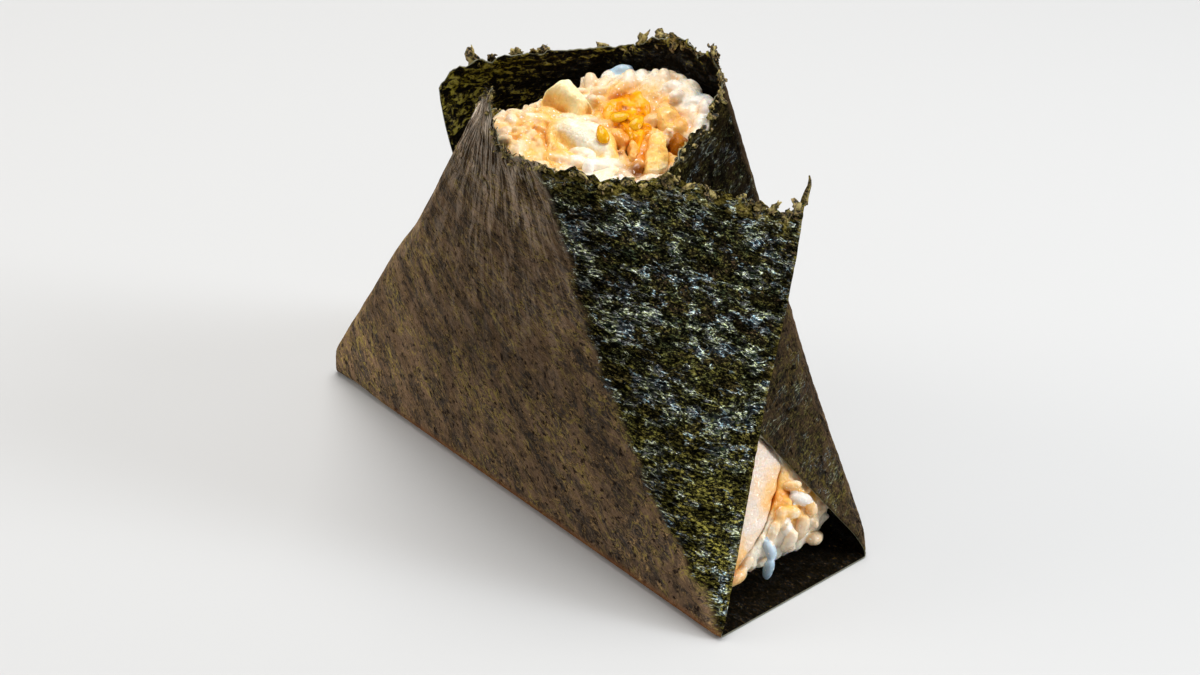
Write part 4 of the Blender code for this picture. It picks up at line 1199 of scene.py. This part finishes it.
def even_outline(outline, count):
    """Walk round an outline in equal steps, with its corners softened."""
    points = [Vector(p) * MM for p in outline]
    lengths = [(b - a).length for a, b in zip(points, points[1:] + points[:1])]
    total = sum(lengths)
    walked = []
    for i in range(count):
        left = total * i / count
        index = 0
        while left > lengths[index]:
            left -= lengths[index]
            index += 1
        start = points[index]
        end = points[(index + 1) % len(points)]
        walked.append(start.lerp(end, left / lengths[index]))
    for _ in range(RIM_EASING):
        walked = [p.lerp((walked[i - 1] + walked[(i + 1) % count]) / 2, 0.5)
                  for i, p in enumerate(walked)]
    return walked


def axes_at(place, x, z):
    """A frame at a place from its x and z directions."""
    basis = Matrix((x, z.cross(x), z)).transposed().to_4x4()
    basis.translation = place
    return basis


def facing_frame(middle, normal):
    z = Vector(normal).normalized()
    return axes_at(middle, (Vector((1, 0, 0)) - z * z.x).normalized(), z)


def slice_frame():
    z = Vector((SIN, 0, COS))
    return axes_at(Vector((LENGTH / 2, 0, 0)) + z * SLICE_TOP, Vector((-COS, 0, SIN)), z)


def piece_levels(depth, rounded):
    """Rings of a piece as (share of its rim, height in mm), from the middle of its top down."""
    levels = []
    for i in range(1, PIECE_RINGS + 1):
        share = rounded * i / PIECE_RINGS
        levels.append((share, CROWN - CROWN_DROP * share * share))
    for i in range(1, EDGE_RINGS + 1):
        turn = math.pi / 2 * i / EDGE_RINGS
        levels.append((rounded + (1 - rounded) * math.sin(turn),
                       -ROUNDED_DROP * (1 - math.cos(turn))))
    return levels + [(1.0, -1.6 * ROUNDED_DROP), (0.98, -0.5 * depth), (0.95, -0.7 * depth),
                     (PIECE_FOOT, -depth)]


def make_piece(name, basis, outline, depth, relief, spots, rounded, material):
    rim = even_outline(outline, PIECE_RIM)
    middle = sum(rim, Vector((0.0, 0.0))) / PIECE_RIM
    rim = [p + (p - middle).normalized() * RIM_WOBBLE * rough(p.x, p.y, 1.3 * MM, 1.3 * MM, depth)
           for p in rim]
    bm = bmesh.new()
    uv = bm.loops.layers.uv.new("meat")
    flat = {}
    hollows = []
    rings = []
    for share, height in piece_levels(depth, rounded):
        ring = []
        for point in rim:
            spot = middle.lerp(point, share)
            bump = rough(spot.x, spot.y, 1.6 * MM, 2.4 * MM, depth)
            bump += 0.45 * rough(spot.x, spot.y, 0.7 * MM, 1.1 * MM, depth + 3)
            lift = sum(rise * nearness(spot, (x, y), reach) for x, y, reach, rise in spots)
            edge = 1 - smooth((share - 0.9) / 0.1)
            vert = bm.verts.new((spot.x, spot.y, (height + lift * edge) * MM + relief * bump))
            flat[vert] = (spot.x / MM, spot.y / MM + height)
            # Hollows of a piece's top take more stain, for sauce that ran in and as painted shade.
            hollows.append(0.35 * smooth(-lift / 1.2))
            ring.append(vert)
        rings.append(ring)
    top = bm.verts.new((middle.x, middle.y, rings[0][0].co.z))
    bottom = bm.verts.new((middle.x, middle.y, -depth * MM))
    for vert in (top, bottom):
        flat[vert] = (middle.x / MM, middle.y / MM)
        hollows.append(0.0)
    skin_rings(bm, rings, top, bottom)
    for face in bm.faces:
        for loop in face.loops:
            loop[uv].uv = flat[loop.vert]
    bmesh.ops.transform(bm, matrix=basis, verts=bm.verts)
    obj = object_of(bm, name, material)
    stains = zip(at_points(obj, stain_at), hollows)
    store(obj, "stain", [min(stain + hollow, 1.0) for stain, hollow in stains])
    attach(obj, "root")
    return shade_round(obj)


for cad_name, (middle, normal, depth, outline) in CHICKEN.items():
    finish = {"chicken_glazed": GLAZED_CHICKEN,
              "chicken_chunk": YELLOW_CHICKEN}.get(cad_name, COOKED_CHICKEN)
    piece = make_piece(cad_name.replace("chicken", "meat"),
                       facing_frame(Vector(middle) * MM, normal), outline, depth, PIECE_RELIEF,
                       MEAT_RELIEF.get(cad_name, ()),
                       ROUNDED_FROM.get(cad_name, ROUNDED_USUALLY), finish)
    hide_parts(cad_name)
side_piece = make_piece("meat_side", slice_frame(), [(s, -y) for s, y in SLICE_OUTLINE],
                        SLICE_DEPTH, SLICE_RELIEF * PIECE_RELIEF, (), SLICE_ROUNDED_FROM,
                        SHADED_SIDE_CHICKEN)
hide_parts("chicken_side")


# Loose cooked grains that show whole in the bite and at both ends, melted into each other.
# By the left of the bite they are mashed small; behind the sauce they are whole and white.
GRAIN_SIDES = 8
GRAIN_BANDS = 6
GRAIN_LENGTH = 4.9 * MM
GRAIN_WIDTH = 2.6 * MM
GRAIN_SEED = 8
# How far a grain may sink into soft chicken, and how far it stays from the seaweed.
GRAIN_CLEARANCE = -0.8 * MM
SHEET_CLEARANCE = 0.15 * MM
# Places tried for each grain wanted, turns tried at each place, and how it shrinks at each turn.
GRAIN_DROPS = 14
GRAIN_TRIES = 14
GRAIN_SHRINK = 0.95
GRAIN_VOXEL = 0.26 * MM
GRAIN_SOFTENING = 3
GRAIN_CRUMBS = 0.06 * MM
# The layer of packed rice that the loose grains are melted onto: lowest level in the bite.
BITE_FLOOR = 55.0 * MM
BITE_GRAINS = 330
END_GRAINS = {1: 48, -1: 60}
LOWEST_END_GRAIN = {1: 6.0, -1: 0.5}
ENDS_FROM = 28 * MM
STEEPEST_REST = 0.2
# Least distance between grains, and their size, where they are mashed and where they are whole.
MASHED_SPACING = 1.3 * MM
GRAIN_SPACING = 2.2 * MM
MASHED_SIZE = (0.42, 0.72)
WHOLE_SIZE = (0.8, 1.05)
MASHED_FROM = 5 * MM
# The patch of clean white grains at the right: middle and reach in mm, and the grains' tints.
WHITE_PATCH = ((8.5, 13), 6.5)
WHITE_TINTS = (0.45, 0.84)
USUAL_TINTS = (0.0, 0.6)
# Standing grains with a tint above this are glassy; no other grain may lie on them.
GLASSY_FROM = 0.9
KEPT_CLEAR = 2.5 * MM
# Where smooth sauced chicken and rice leave few grains: middle and reach in mm.
SMOOTH_ZONES = ((-3.0, 9.5, 3.0), (0.5, 8.5, 3.6), (-2.5, 5.0, 3.6), (2.5, 4.0, 3.8),
                (5.4, 0.6, 2.6), (9.0, 2.0, 3.4), (-14.1, 6.6, 2.6), (0.1, 0.3, 2.2))
# How high a loose grain may lie, by where it lies from front to back, in mm.
HIGHEST_GRAIN = ((-12, 62.6), (-4, 63.2), (6, 63.8), (10, 64.8), (16, 65.2))
# Spots at the ends where no loose grain lies: middle and reach in mm.
BARE_SPOTS = (((44.0, 12.0, 7.0), 4.5), ((44.0, 8.0, 5.0), 3.0))
# Laid grains that would hide the chicken, taken off again: middle and reach in mm.
PICKED_OFF = (((2.9, -0.8, 62.2), 1.7), ((9.4, 4.8, 61.2), 1.7))
# Grains and lumps that stand out: middle and heading, length and width in mm, how glassy.
STANDING_GRAINS = (
    ((-10.9, 13.6, 63.4), (0.72, 0.65, 0.1), 3.7, 2.3, 1.6),
    ((-7.5, 15.0, 63.0), (0.6, 0.3, 0.3), 4.4, 2.4, 0.5),
    ((-6.6, -7.8, 62.0), (1.7, 4.2, -1.3), 6.8, 3.4, 0.1),
    ((-7.4, -4.9, 62.1), (1.3, 0.9, -0.4), 4.6, 2.8, 0.15),
    ((-5.0, -3.4, 61.8), (1.6, 1.2, 0.1), 4.6, 2.6, 0.2),
    ((-2.9, -1.4, 61.7), (1.0, 1.6, 0.0), 4.2, 2.6, 0.3),
    ((-9.4, 11.6, 62.0), (0.5, 0.7, 0.2), 4.4, 2.6, 0.1),
    ((-7.4, 13.2, 63.2), (0.7, -0.4, 0.3), 4.2, 2.8, 0.2),
    ((7.2, -10.0, 60.2), (-0.3, 0.25, 0.85), 3.2, 1.9, 0.75),
    ((5.6, 15.8, 63.4), (-0.2, 0.0, 0.9), 2.8, 1.8, 1.05),
    ((7.4, 1.0, 60.3), (0.7, -0.6, -0.1), 4.2, 2.6, 0.38),
    ((9.2, -1.4, 59.5), (0.7, -0.7, -0.2), 4.4, 2.2, 0.38),
    ((3.4, -0.6, 61.2), (0.8, 0.3, -0.2), 4.4, 3.2, 0.38),
    ((6.2, -3.0, 59.4), (0.5, -0.8, -0.2), 3.8, 2.4, 0.38),
    ((12.6, 3.4, 58.6), (0.3, 0.9, 0.2), 4.0, 2.6, 0.38),
    ((8.0, 4.2, 60.8), (0.2, 0.9, 0.0), 3.6, 2.2, 0.38),
    ((4.0, 6.4, 62.2), (0.4, 0.9, 0.1), 4.0, 3.0, 0.1),
    ((7.6, 8.6, 62.2), (0.5, -0.8, 0.0), 4.0, 2.8, 0.3),
    ((3.6, 9.4, 63.0), (0.9, -0.2, 0.0), 4.0, 2.8, 0.2),
    ((-4.2, -10.4, 59.9), (0.7, -0.3, 0.1), 5.0, 3.6, 0.3),
    ((-1.2, -12.6, 59.7), (0.5, 0.5, 0.1), 4.4, 3.2, 0.35),
    ((-0.4, -9.6, 60.1), (0.6, -0.6, 0.0), 4.4, 3.0, 0.4),
    ((1.6, -11.3, 59.9), (0.5, 0.7, 0.0), 4.8, 3.4, 0.4),
    ((4.0, -9.9, 59.9), (0.3, 0.8, 0.1), 3.8, 2.8, 0.5),
    ((4.3, -12.6, 58.9), (0.8, 0.3, 0.0), 4.4, 3.2, 0.35),
    ((3.0, -7.4, 60.2), (0.8, 0.5, 0.0), 4.6, 2.6, 0.38),
    ((6.5, -7.2, 59.4), (0.5, 0.8, -0.2), 5.6, 3.4, 0.4),
    ((7.5, -4.6, 59.0), (0.4, 0.9, -0.3), 5.0, 3.2, 0.38),
    ((42.6, 2.6, 8.8), (1.6, 0.6, -3.0), 4.6, 2.5, 0.8),
    ((41.5, 6.6, 12.0), (1.0, 2.0, -1.0), 4.4, 2.6, 0.95),
    ((42.9, -1.2, 6.8), (1.2, 0.8, -3.0), 4.2, 2.3, 1.3),
    ((43.4, -1.6, 3.4), (1.0, -0.4, 4.6), 4.6, 1.9, 1.5),
    ((41.2, 4.2, 3.4), (2.4, -1.4, 3.8), 4.6, 2.2, 1.0))


def grain_material():
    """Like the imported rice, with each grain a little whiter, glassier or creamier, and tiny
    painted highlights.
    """
    material, tree, shader = food_material("rice_grain", RICE_TONES, 0.3, 0.12 * MM, 0.6 * MM)
    tint = painted(tree, "tint")
    # Away from the painted crease shade, grains are whiter or creamier by their tint; the tiny white
    # specks are painted highlights.
    clean = span(painted(tree, "crease_shade"), 0.7, 0.2)
    painted_sparkle = span(speckle(object_space(tree), 1 / (0.45 * MM), 0.0), 0.74, 0.80)
    set_inputs(shader, Base_Color=layered(
        shader.inputs["Base Color"].links[0].from_socket,
        (times(span(tint, 0.4, 0.75, 0.0, 0.7), clean), (0.90, 0.88, 0.84)),
        (span(tint, 0.85, 1.4), (0.45, 0.60, 0.72)),
        (times(span(tint, 0.35, 0.0, 0.0, 0.6), clean), (0.80, 0.54, 0.26)),
        (painted_sparkle, (1.0, 0.97, 0.90))))
    return material


def drop_shape(name, bands, sides, size, fullness, taper, sag):
    """A plump drop on the x axis: size in x, y and z, how blunt, how tapered and how bent."""
    bm = bmesh.new()
    turns = [2 * math.pi * i / sides for i in range(sides)]
    rings = []
    for j in range(1, bands):
        angle = math.pi * j / bands
        t = -math.cos(angle)
        half = math.sin(angle) ** fullness * (1 + taper * t)
        rings.append([bm.verts.new((size[0] / 2 * t, size[1] / 2 * half * math.cos(turn),
                                    size[2] / 2 * half * math.sin(turn) - sag * t * t))
                      for turn in turns])
    ends = [bm.verts.new((end * size[0] / 2, 0, -sag)) for end in (-1, 1)]
    skin_rings(bm, rings, *ends)
    return object_of(bm, name)


def grain_shape():
    """A plump cooked grain, slightly bent, one end blunter than the other."""
    size = (GRAIN_LENGTH, GRAIN_WIDTH, 0.88 * GRAIN_WIDTH)
    return drop_shape("grain", GRAIN_BANDS, GRAIN_SIDES, size, 0.75, 0.08, 0.22 * MM)


def tree_of(obj):
    bm = copy_of(obj)
    tree = BVHTree.FromBMesh(bm)
    bm.free()
    return tree


def free_spot(neighbours, basis, length, radius):
    """Whether a grain would lie clear of its neighbours, each a tree and a clearance."""
    for share in (-0.5, -0.25, 0.0, 0.25, 0.5):
        place = basis @ Vector((share * (length - 1.3 * radius), 0, 0))
        for tree, skin in neighbours:
            if tree.find_nearest(place)[3] < radius + skin:
                return False
    return True


def resting_frame(place, normal, turn, lean):
    z = Vector(normal).normalized()
    basis = axes_at(place, z.orthogonal().normalized(), z)
    return basis @ Matrix.Rotation(turn, 4, "Z") @ Matrix.Rotation(lean, 4, "Y")


def grain_line(zone, rng):
    """Start and heading of a line that finds a resting spot in the bite (0) or an end (-1, 1)."""
    if zone == 0:
        start = Vector((rng.uniform(-16, 16), rng.uniform(-17, 17), 80)) * MM
        return start, Vector((0, 0, -1))
    s = rng.uniform(LOWEST_END_GRAIN[zone], 26) * MM
    out = 6 * MM
    start = Vector((zone * (LENGTH / 2 - s * COS + out * SIN), rng.uniform(-15, 15) * MM,
                    s * SIN + out * COS))
    return start, Vector((-zone * SIN, 0, -COS))


def within(place, spots):
    """Whether a place lies within one of the spots, each a middle and a reach."""
    return any((place - middle).length < reach for middle, reach in spots)


def lay_grains(zone, wanted, surface, neighbours, rng):
    """Resting grains of one zone: places, turns and sizes, with a tint for each."""
    points = []
    tints = []
    smooth_zones = [(Vector((x, y)), reach) for x, y, reach in SMOOTH_ZONES]
    for _ in range(wanted * GRAIN_DROPS):
        if len(points) == wanted:
            break
        place, normal, _, _ = surface.ray_cast(*grain_line(zone, rng))
        if place is None or zone == 0 and normal.z < STEEPEST_REST:
            continue
        if zone != 0 and abs(place.x) < ENDS_FROM:
            continue
        left = place.x < -MASHED_FROM and place.y < MASHED_FROM
        mashed = zone == 0 and (place.y < -MASHED_FROM or left)
        spacing = MASHED_SPACING if mashed else GRAIN_SPACING
        flat = Vector((place.x, place.y)) / MM
        if within(place, [(other[0], spacing) for other in points]):
            continue
        if zone == 0 and within(flat, smooth_zones):
            continue
        size = rng.uniform(*(MASHED_SIZE if mashed else WHOLE_SIZE))
        for _ in range(GRAIN_TRIES):
            basis = resting_frame(place + normal * rng.uniform(-0.1, 0.6) * MM, normal,
                                  rng.uniform(0, math.pi), rng.uniform(-0.3, 0.3))
            if zone == 0 and basis.translation.z > read_profile(HIGHEST_GRAIN, flat.y) * MM:
                continue
            if within(basis.translation, kept_clear):
                continue
            if free_spot(neighbours, basis, GRAIN_LENGTH * size, GRAIN_WIDTH / 2 * size):
                wide = size * rng.uniform(0.95, 1.2 if mashed else 1.05)
                points.append((basis.translation, basis.to_euler(), (size, wide, wide)))
                white = zone == 0 and within(flat, [(Vector(WHITE_PATCH[0]), WHITE_PATCH[1])])
                tints.append(rng.uniform(*(WHITE_TINTS if white else USUAL_TINTS)))
                break
            size *= GRAIN_SHRINK
    return points, tints


def standing_grain(middle, heading, length, width):
    turn = Vector(heading).to_track_quat("X", "Z").to_euler()
    wide = width * MM / GRAIN_WIDTH
    return Vector(middle) * MM, turn, (length * MM / GRAIN_LENGTH, wide, wide)


def packed_layer(level):
    """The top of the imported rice, cut off level and closed below."""
    bm = copy_of(rice_core)
    cut = bmesh.ops.bisect_plane(bm, geom=bm.verts[:] + bm.edges[:] + bm.faces[:],
                                 plane_co=(0, 0, level), plane_no=(0, 0, 1), clear_inner=True)
    edges = [e for e in cut["geom_cut"] if isinstance(e, bmesh.types.BMEdge)]
    bmesh.ops.holes_fill(bm, edges=edges)
    return object_of(bm, "packed_layer")


def make_grains(name, points, tints, base=None):
    """Melt grains into each other and tint each by the grain whose length it lies nearest."""
    obj = repeat_shape(name, grain_shape(), points, RICE_GRAIN)
    if base:
        join_meshes(obj, base)
    melt_together(obj, GRAIN_VOXEL, GRAIN_SOFTENING, RICE_GRAIN)
    crumple(obj, GRAIN_CRUMBS, 0.9 * MM, 0.5 * MM)
    finder = KDTree(3 * len(points))
    for i, (place, turn, size) in enumerate(points):
        axis = turn.to_matrix() @ Vector((GRAIN_LENGTH * size[0] * 0.33, 0, 0))
        for k in (-1, 0, 1):
            finder.insert(place + axis * k, i)
    finder.balance()
    store(obj, "tint", at_points(obj, lambda place: tints[finder.find(place)[1]]))
    stain_creases(obj, 20, 0.55 * MM, 0.72)
    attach(obj, "root")


RICE_GRAIN = grain_material()
core_skin = tree_of(rice_core)
clear_pieces = ("meat_glazed", "meat_chunk", "meat_side", "meat_strip", "meat_small")
kept_clear = [(Vector(middle) * MM, KEPT_CLEAR) for middle, _, _, _, tint in STANDING_GRAINS
              if tint > GLASSY_FROM]
kept_clear += [(Vector(middle) * MM, reach * MM) for middle, reach in BARE_SPOTS]
picked_off = [(Vector(middle), reach) for middle, reach in PICKED_OFF]
guards = [(tree_of(o), 0.0 if o.name in clear_pieces else GRAIN_CLEARANCE)
          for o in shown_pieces() if o.name.startswith("meat_")]
guards.append((tree_of(sheet), SHEET_CLEARANCE))
grain_rng = random.Random(GRAIN_SEED)
for grain_piece, zones in (("bite_grains", {0: BITE_GRAINS}), ("end_grains", END_GRAINS)):
    in_bite = grain_piece == "bite_grains"
    laid = []
    laid_tints = []
    for zone, wanted in zones.items():
        found = lay_grains(zone, wanted, core_skin, guards, grain_rng)
        for grain, tint in zip(*found):
            if not within(grain[0] / MM, picked_off):
                laid.append(grain)
                laid_tints.append(tint)
    for middle, heading, length, width, tint in STANDING_GRAINS:
        if (middle[2] * MM > BITE_FLOOR) == in_bite:
            laid.append(standing_grain(middle, heading, length, width))
            laid_tints.append(tint)
    make_grains(grain_piece, laid, laid_tints, packed_layer(BITE_FLOOR) if in_bite else None)


# The sauce: a thin glossy orange glaze that has run into the dip between the pieces.
SAUCE_OUTLINE = (
    (-6.6, 6.0), (-6.4, 8.6), (-5.2, 9.6), (-3.4, 10.8), (-2.0, 9.6), (0.4, 9.9), (2.0, 8.0),
    (4.4, 7.8), (5.2, 5.6), (6.6, 4.6), (6.0, 2.6), (8.2, 0.6), (10.4, -2.6), (9.6, -3.0),
    (7.2, -0.6), (5.0, -0.4), (3.4, -0.2), (1.0, 0.4), (-1.6, 0.8), (-4.0, 1.8), (-5.0, 4.0))
SAUCE_RINGS = 26
SAUCE_SPOKES = 96
SAUCE_FILM = 0.45 * MM
SAUCE_THICKNESS = 1.1 * MM
SAUCE_EASING = 3
SAUCE_LOWEST = 59.4 * MM
# Its last rings thin out and end this far down in the rice.
SAUCE_EDGE_RINGS = 6
SAUCE_EDGE_SUNK = 0.6 * MM
# Where the sauce is darker: where it lies deep, and as painted shade round two of the seeds; middle
# and reach in mm.
SAUCE_WELLS = ((-4.1, 7.2, 2.2), (-1.9, 5.0, 1.8), (0.6, 2.8, 1.8), (3.0, 1.2, 1.8),
               (6.4, 0.4, 1.4), (9.2, -1.8, 1.6), (4.8, 3.4, 1.8), (1.4, 6.4, 1.6),
               (2.2, 1.0, 2.2), (3.9, 2.2, 1.7), (0.0, 3.4, 1.8))
# Grains and chicken that the sauce runs over: middle, reach and rise in mm.
SAUCE_RISES = ((7.6, 0.4, 2.6, 1.6), (9.6, -2.0, 1.8, 1.2), (3.2, 0.0, 2.4, 1.0))


def sauce_material():
    material, tree, shader = new_material(
        "teriyaki_sauce", Roughness=0.4, Coat_Roughness=0.04, Specular_IOR_Level=0.0)
    place = object_space(tree)
    cloud = speckle(place, 1 / (1.3 * MM), 4)
    depth = plus(painted(tree, "depth"), span(cloud, 0.4, 0.6, -0.22, 0.22))
    tone = layered((0.93, 0.52, 0.08), (span(depth, 0.0, 0.3), (0.92, 0.40, 0.005)),
                   (span(depth, 0.4, 0.8), (0.76, 0.24, 0.0)),
                   (span(depth, 0.85, 1.1), (0.40, 0.10, 0.0)))
    normal = raised(speckle(place, 1 / (1.1 * MM), 2), 0.3 * MM)
    beads = speckle(place, 1 / (0.6 * MM), 1)
    set_inputs(shader, Base_Color=tone, Normal=normal, Coat_Weight=span(beads, 0.48, 0.58, 0.1, 1.0),
               Coat_Normal=raised(beads, 0.25 * MM, normal))
    return material


def highest(trees, x, y):
    """Highest point and its normal above a spot."""
    hits = [t.ray_cast(Vector((x, y, 80 * MM)), Vector((0, 0, -1))) for t in trees]
    return max((h for h in hits if h[0]), key=lambda hit: hit[0].z)


def make_sauce():
    rim = even_outline(SAUCE_OUTLINE, SAUCE_SPOKES)
    middle = sum(rim, Vector((0.0, 0.0))) / SAUCE_SPOKES
    spots = [[middle.lerp(p, j / SAUCE_RINGS) for p in rim] for j in range(SAUCE_RINGS + 1)]
    heights = [[max(highest([core_skin], p.x, p.y)[0].z, SAUCE_LOWEST) for p in ring]
               for ring in spots]
    for _ in range(SAUCE_EASING):
        eased = []
        for j, ring in enumerate(heights):
            low = heights[max(j - 1, 0)]
            high = heights[min(j + 1, SAUCE_RINGS)]
            eased.append([(ring[i - 1] + ring[(i + 1) % SAUCE_SPOKES] + low[i] + high[i]) / 4
                          for i in range(SAUCE_SPOKES)])
        heights = eased
    bm = bmesh.new()
    top = []
    low = []
    for j, (ring, levels) in enumerate(zip(spots, heights)):
        edge = smooth((SAUCE_RINGS - j) / SAUCE_EDGE_RINGS)
        lift = SAUCE_FILM * edge - SAUCE_EDGE_SUNK * (1 - edge)
        rises = [max(rise * MM * nearness(p, (x, y), reach) for x, y, reach, rise in SAUCE_RISES)
                 for p in ring]
        top.append([bm.verts.new((p.x, p.y, z + lift + rise * edge))
                    for p, z, rise in zip(ring, levels, rises)])
        low.append([bm.verts.new((p.x, p.y, z - SAUCE_THICKNESS)) for p, z in zip(ring, levels)])
    for i in range(SAUCE_SPOKES):
        j = (i + 1) % SAUCE_SPOKES
        for lines in (top, low):
            for inner, outer in zip(lines, lines[1:]):
                bm.faces.new((inner[i], outer[i], outer[j], inner[j]))
        bm.faces.new((top[-1][i], low[-1][i], low[-1][j], top[-1][j]))
    bmesh.ops.remove_doubles(bm, verts=bm.verts, dist=0.02 * MM)
    bmesh.ops.recalc_face_normals(bm, faces=bm.faces)
    obj = shade_round(object_of(bm, "sauce_pool", sauce_material()))
    crumple(obj, 0.2 * MM, 1.5 * MM, 0.7 * MM)
    # The sauce is darker where it lies deep, and round two seeds as painted shade.
    store(obj, "depth", at_points(obj, lambda place: max(
        nearness(place.xy, (x, y), reach) for x, y, reach in SAUCE_WELLS)))
    return obj


sauce = make_sauce()
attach(sauce, "root")


# Roasted sesame seeds: flat golden drops about 3 mm long, stuck in the sauce.
SEED_SIZE = (3.2 * MM, 1.9 * MM, 0.9 * MM)
SEED_BANDS = 10
SEED_SIDES = 14
SEED_LIFT = 0.6 * MM
SEED_LEAN = Vector((0.55, -0.5, 0.5))
# Spot in mm and turn about the vertical in degrees.
SEEDS = (((3.4, -3.9), 150), ((1.7, 1.4), 62), ((3.8, 2.8), 104))


def seed_material():
    material, tree, shader = new_material(
        "roasted_sesame", Roughness=0.5, Subsurface_Weight=0.2, Coat_Weight=0.5,
        Subsurface_Radius=(1.0, 0.5, 0.1), Subsurface_Scale=0.3 * MM, Coat_Roughness=0.1,
        Specular_IOR_Level=0.0)
    place = object_space(tree)
    # The seed's outline, where it curves away, is painted dark as shade.
    rim = node(tree, "ShaderNodeLayerWeight", Blend=0.4).outputs["Facing"]
    tone = layered(
        (0.72, 0.32, 0.0),
        (span(speckle(place, 1 / (0.8 * MM)), 0.42, 0.6), (0.88, 0.46, 0.015)),
        (span(rim, 0.35, 0.75), (0.36, 0.12, 0.0)))
    set_inputs(shader, Base_Color=tone, Normal=raised(speckle(place, 1 / (0.3 * MM)), 0.02 * MM))
    return material


def make_seeds():
    trees = [tree_of(o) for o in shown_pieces()
             if o.name.startswith(("meat_", "rice_", "bite_", "sauce_"))]
    points = []
    for (x, y), turn in SEEDS:
        place, normal, _, _ = highest(trees, x * MM, y * MM)
        lying = (normal + SEED_LEAN).normalized()
        basis = facing_frame(place + lying * SEED_LIFT, lying)
        basis = basis @ Matrix.Rotation(math.radians(turn), 4, "Z")
        points.append((basis.translation, basis.to_euler(), (1, 1, 1)))
    shape = drop_shape("seed", SEED_BANDS, SEED_SIDES, SEED_SIZE, 1.0, -0.32, 0.0)
    return repeat_shape("sesame_seeds", shape, points, seed_material())


seeds = make_seeds()
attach(seeds, "root")


# A plain pale floor and soft studio light; neither is part of the rice ball.
FLOOR_SIZE = 3.0
WORLD_STRENGTH = 0.30
FLOOR_COLOUR = (0.62, 0.62, 0.62)
LIGHT_AIM = Vector((0, 0, 30)) * MM
# Name, place, size, power in watts and colour; each is aimed at the rice ball.
LIGHTS = (
    ("top", (-0.10, 0.10, 0.75), (0.50, 0.50), 5.2, (1.0, 0.99, 0.97)),
    ("side", (0.57, 0.46, 0.34), (0.20, 0.60), 4.2, (0.90, 0.95, 1.0)),
    ("front", (-0.42, -0.45, 0.30), (0.30, 0.30), 1.2, (1.0, 0.96, 0.90)),
)


def set_stage():
    mesh = bpy.data.meshes.new("floor")
    half = FLOOR_SIZE / 2
    mesh.from_pydata([(-half, -half, 0), (half, -half, 0), (half, half, 0), (-half, half, 0)], [],
                     [(0, 1, 2, 3)])
    floor = link_object("floor", mesh)
    material, _, _ = new_material("floor", Base_Color=FLOOR_COLOUR, Roughness=0.7,
                                  Specular_IOR_Level=0.2)
    mesh.materials.append(material)
    for name, place, size, power, tone in LIGHTS:
        light = bpy.data.lights.new(name, "AREA")
        light.shape = "RECTANGLE"
        light.size, light.size_y = size
        light.energy = power
        light.color = tone
        lamp = bpy.data.objects.new(name, light)
        lamp.location = place
        aim = LIGHT_AIM - Vector(place)
        lamp.rotation_euler = aim.to_track_quat("-Z", "Y").to_euler()
        scene.collection.objects.link(lamp)
    world = bpy.data.worlds.new("studio")
    scene.world = world
    world.use_nodes = True
    set_inputs(world.node_tree.nodes["Background"], Color=(1.0, 1.0, 1.0),
               Strength=WORLD_STRENGTH)
    scene.view_settings.view_transform = "Standard"


set_stage()
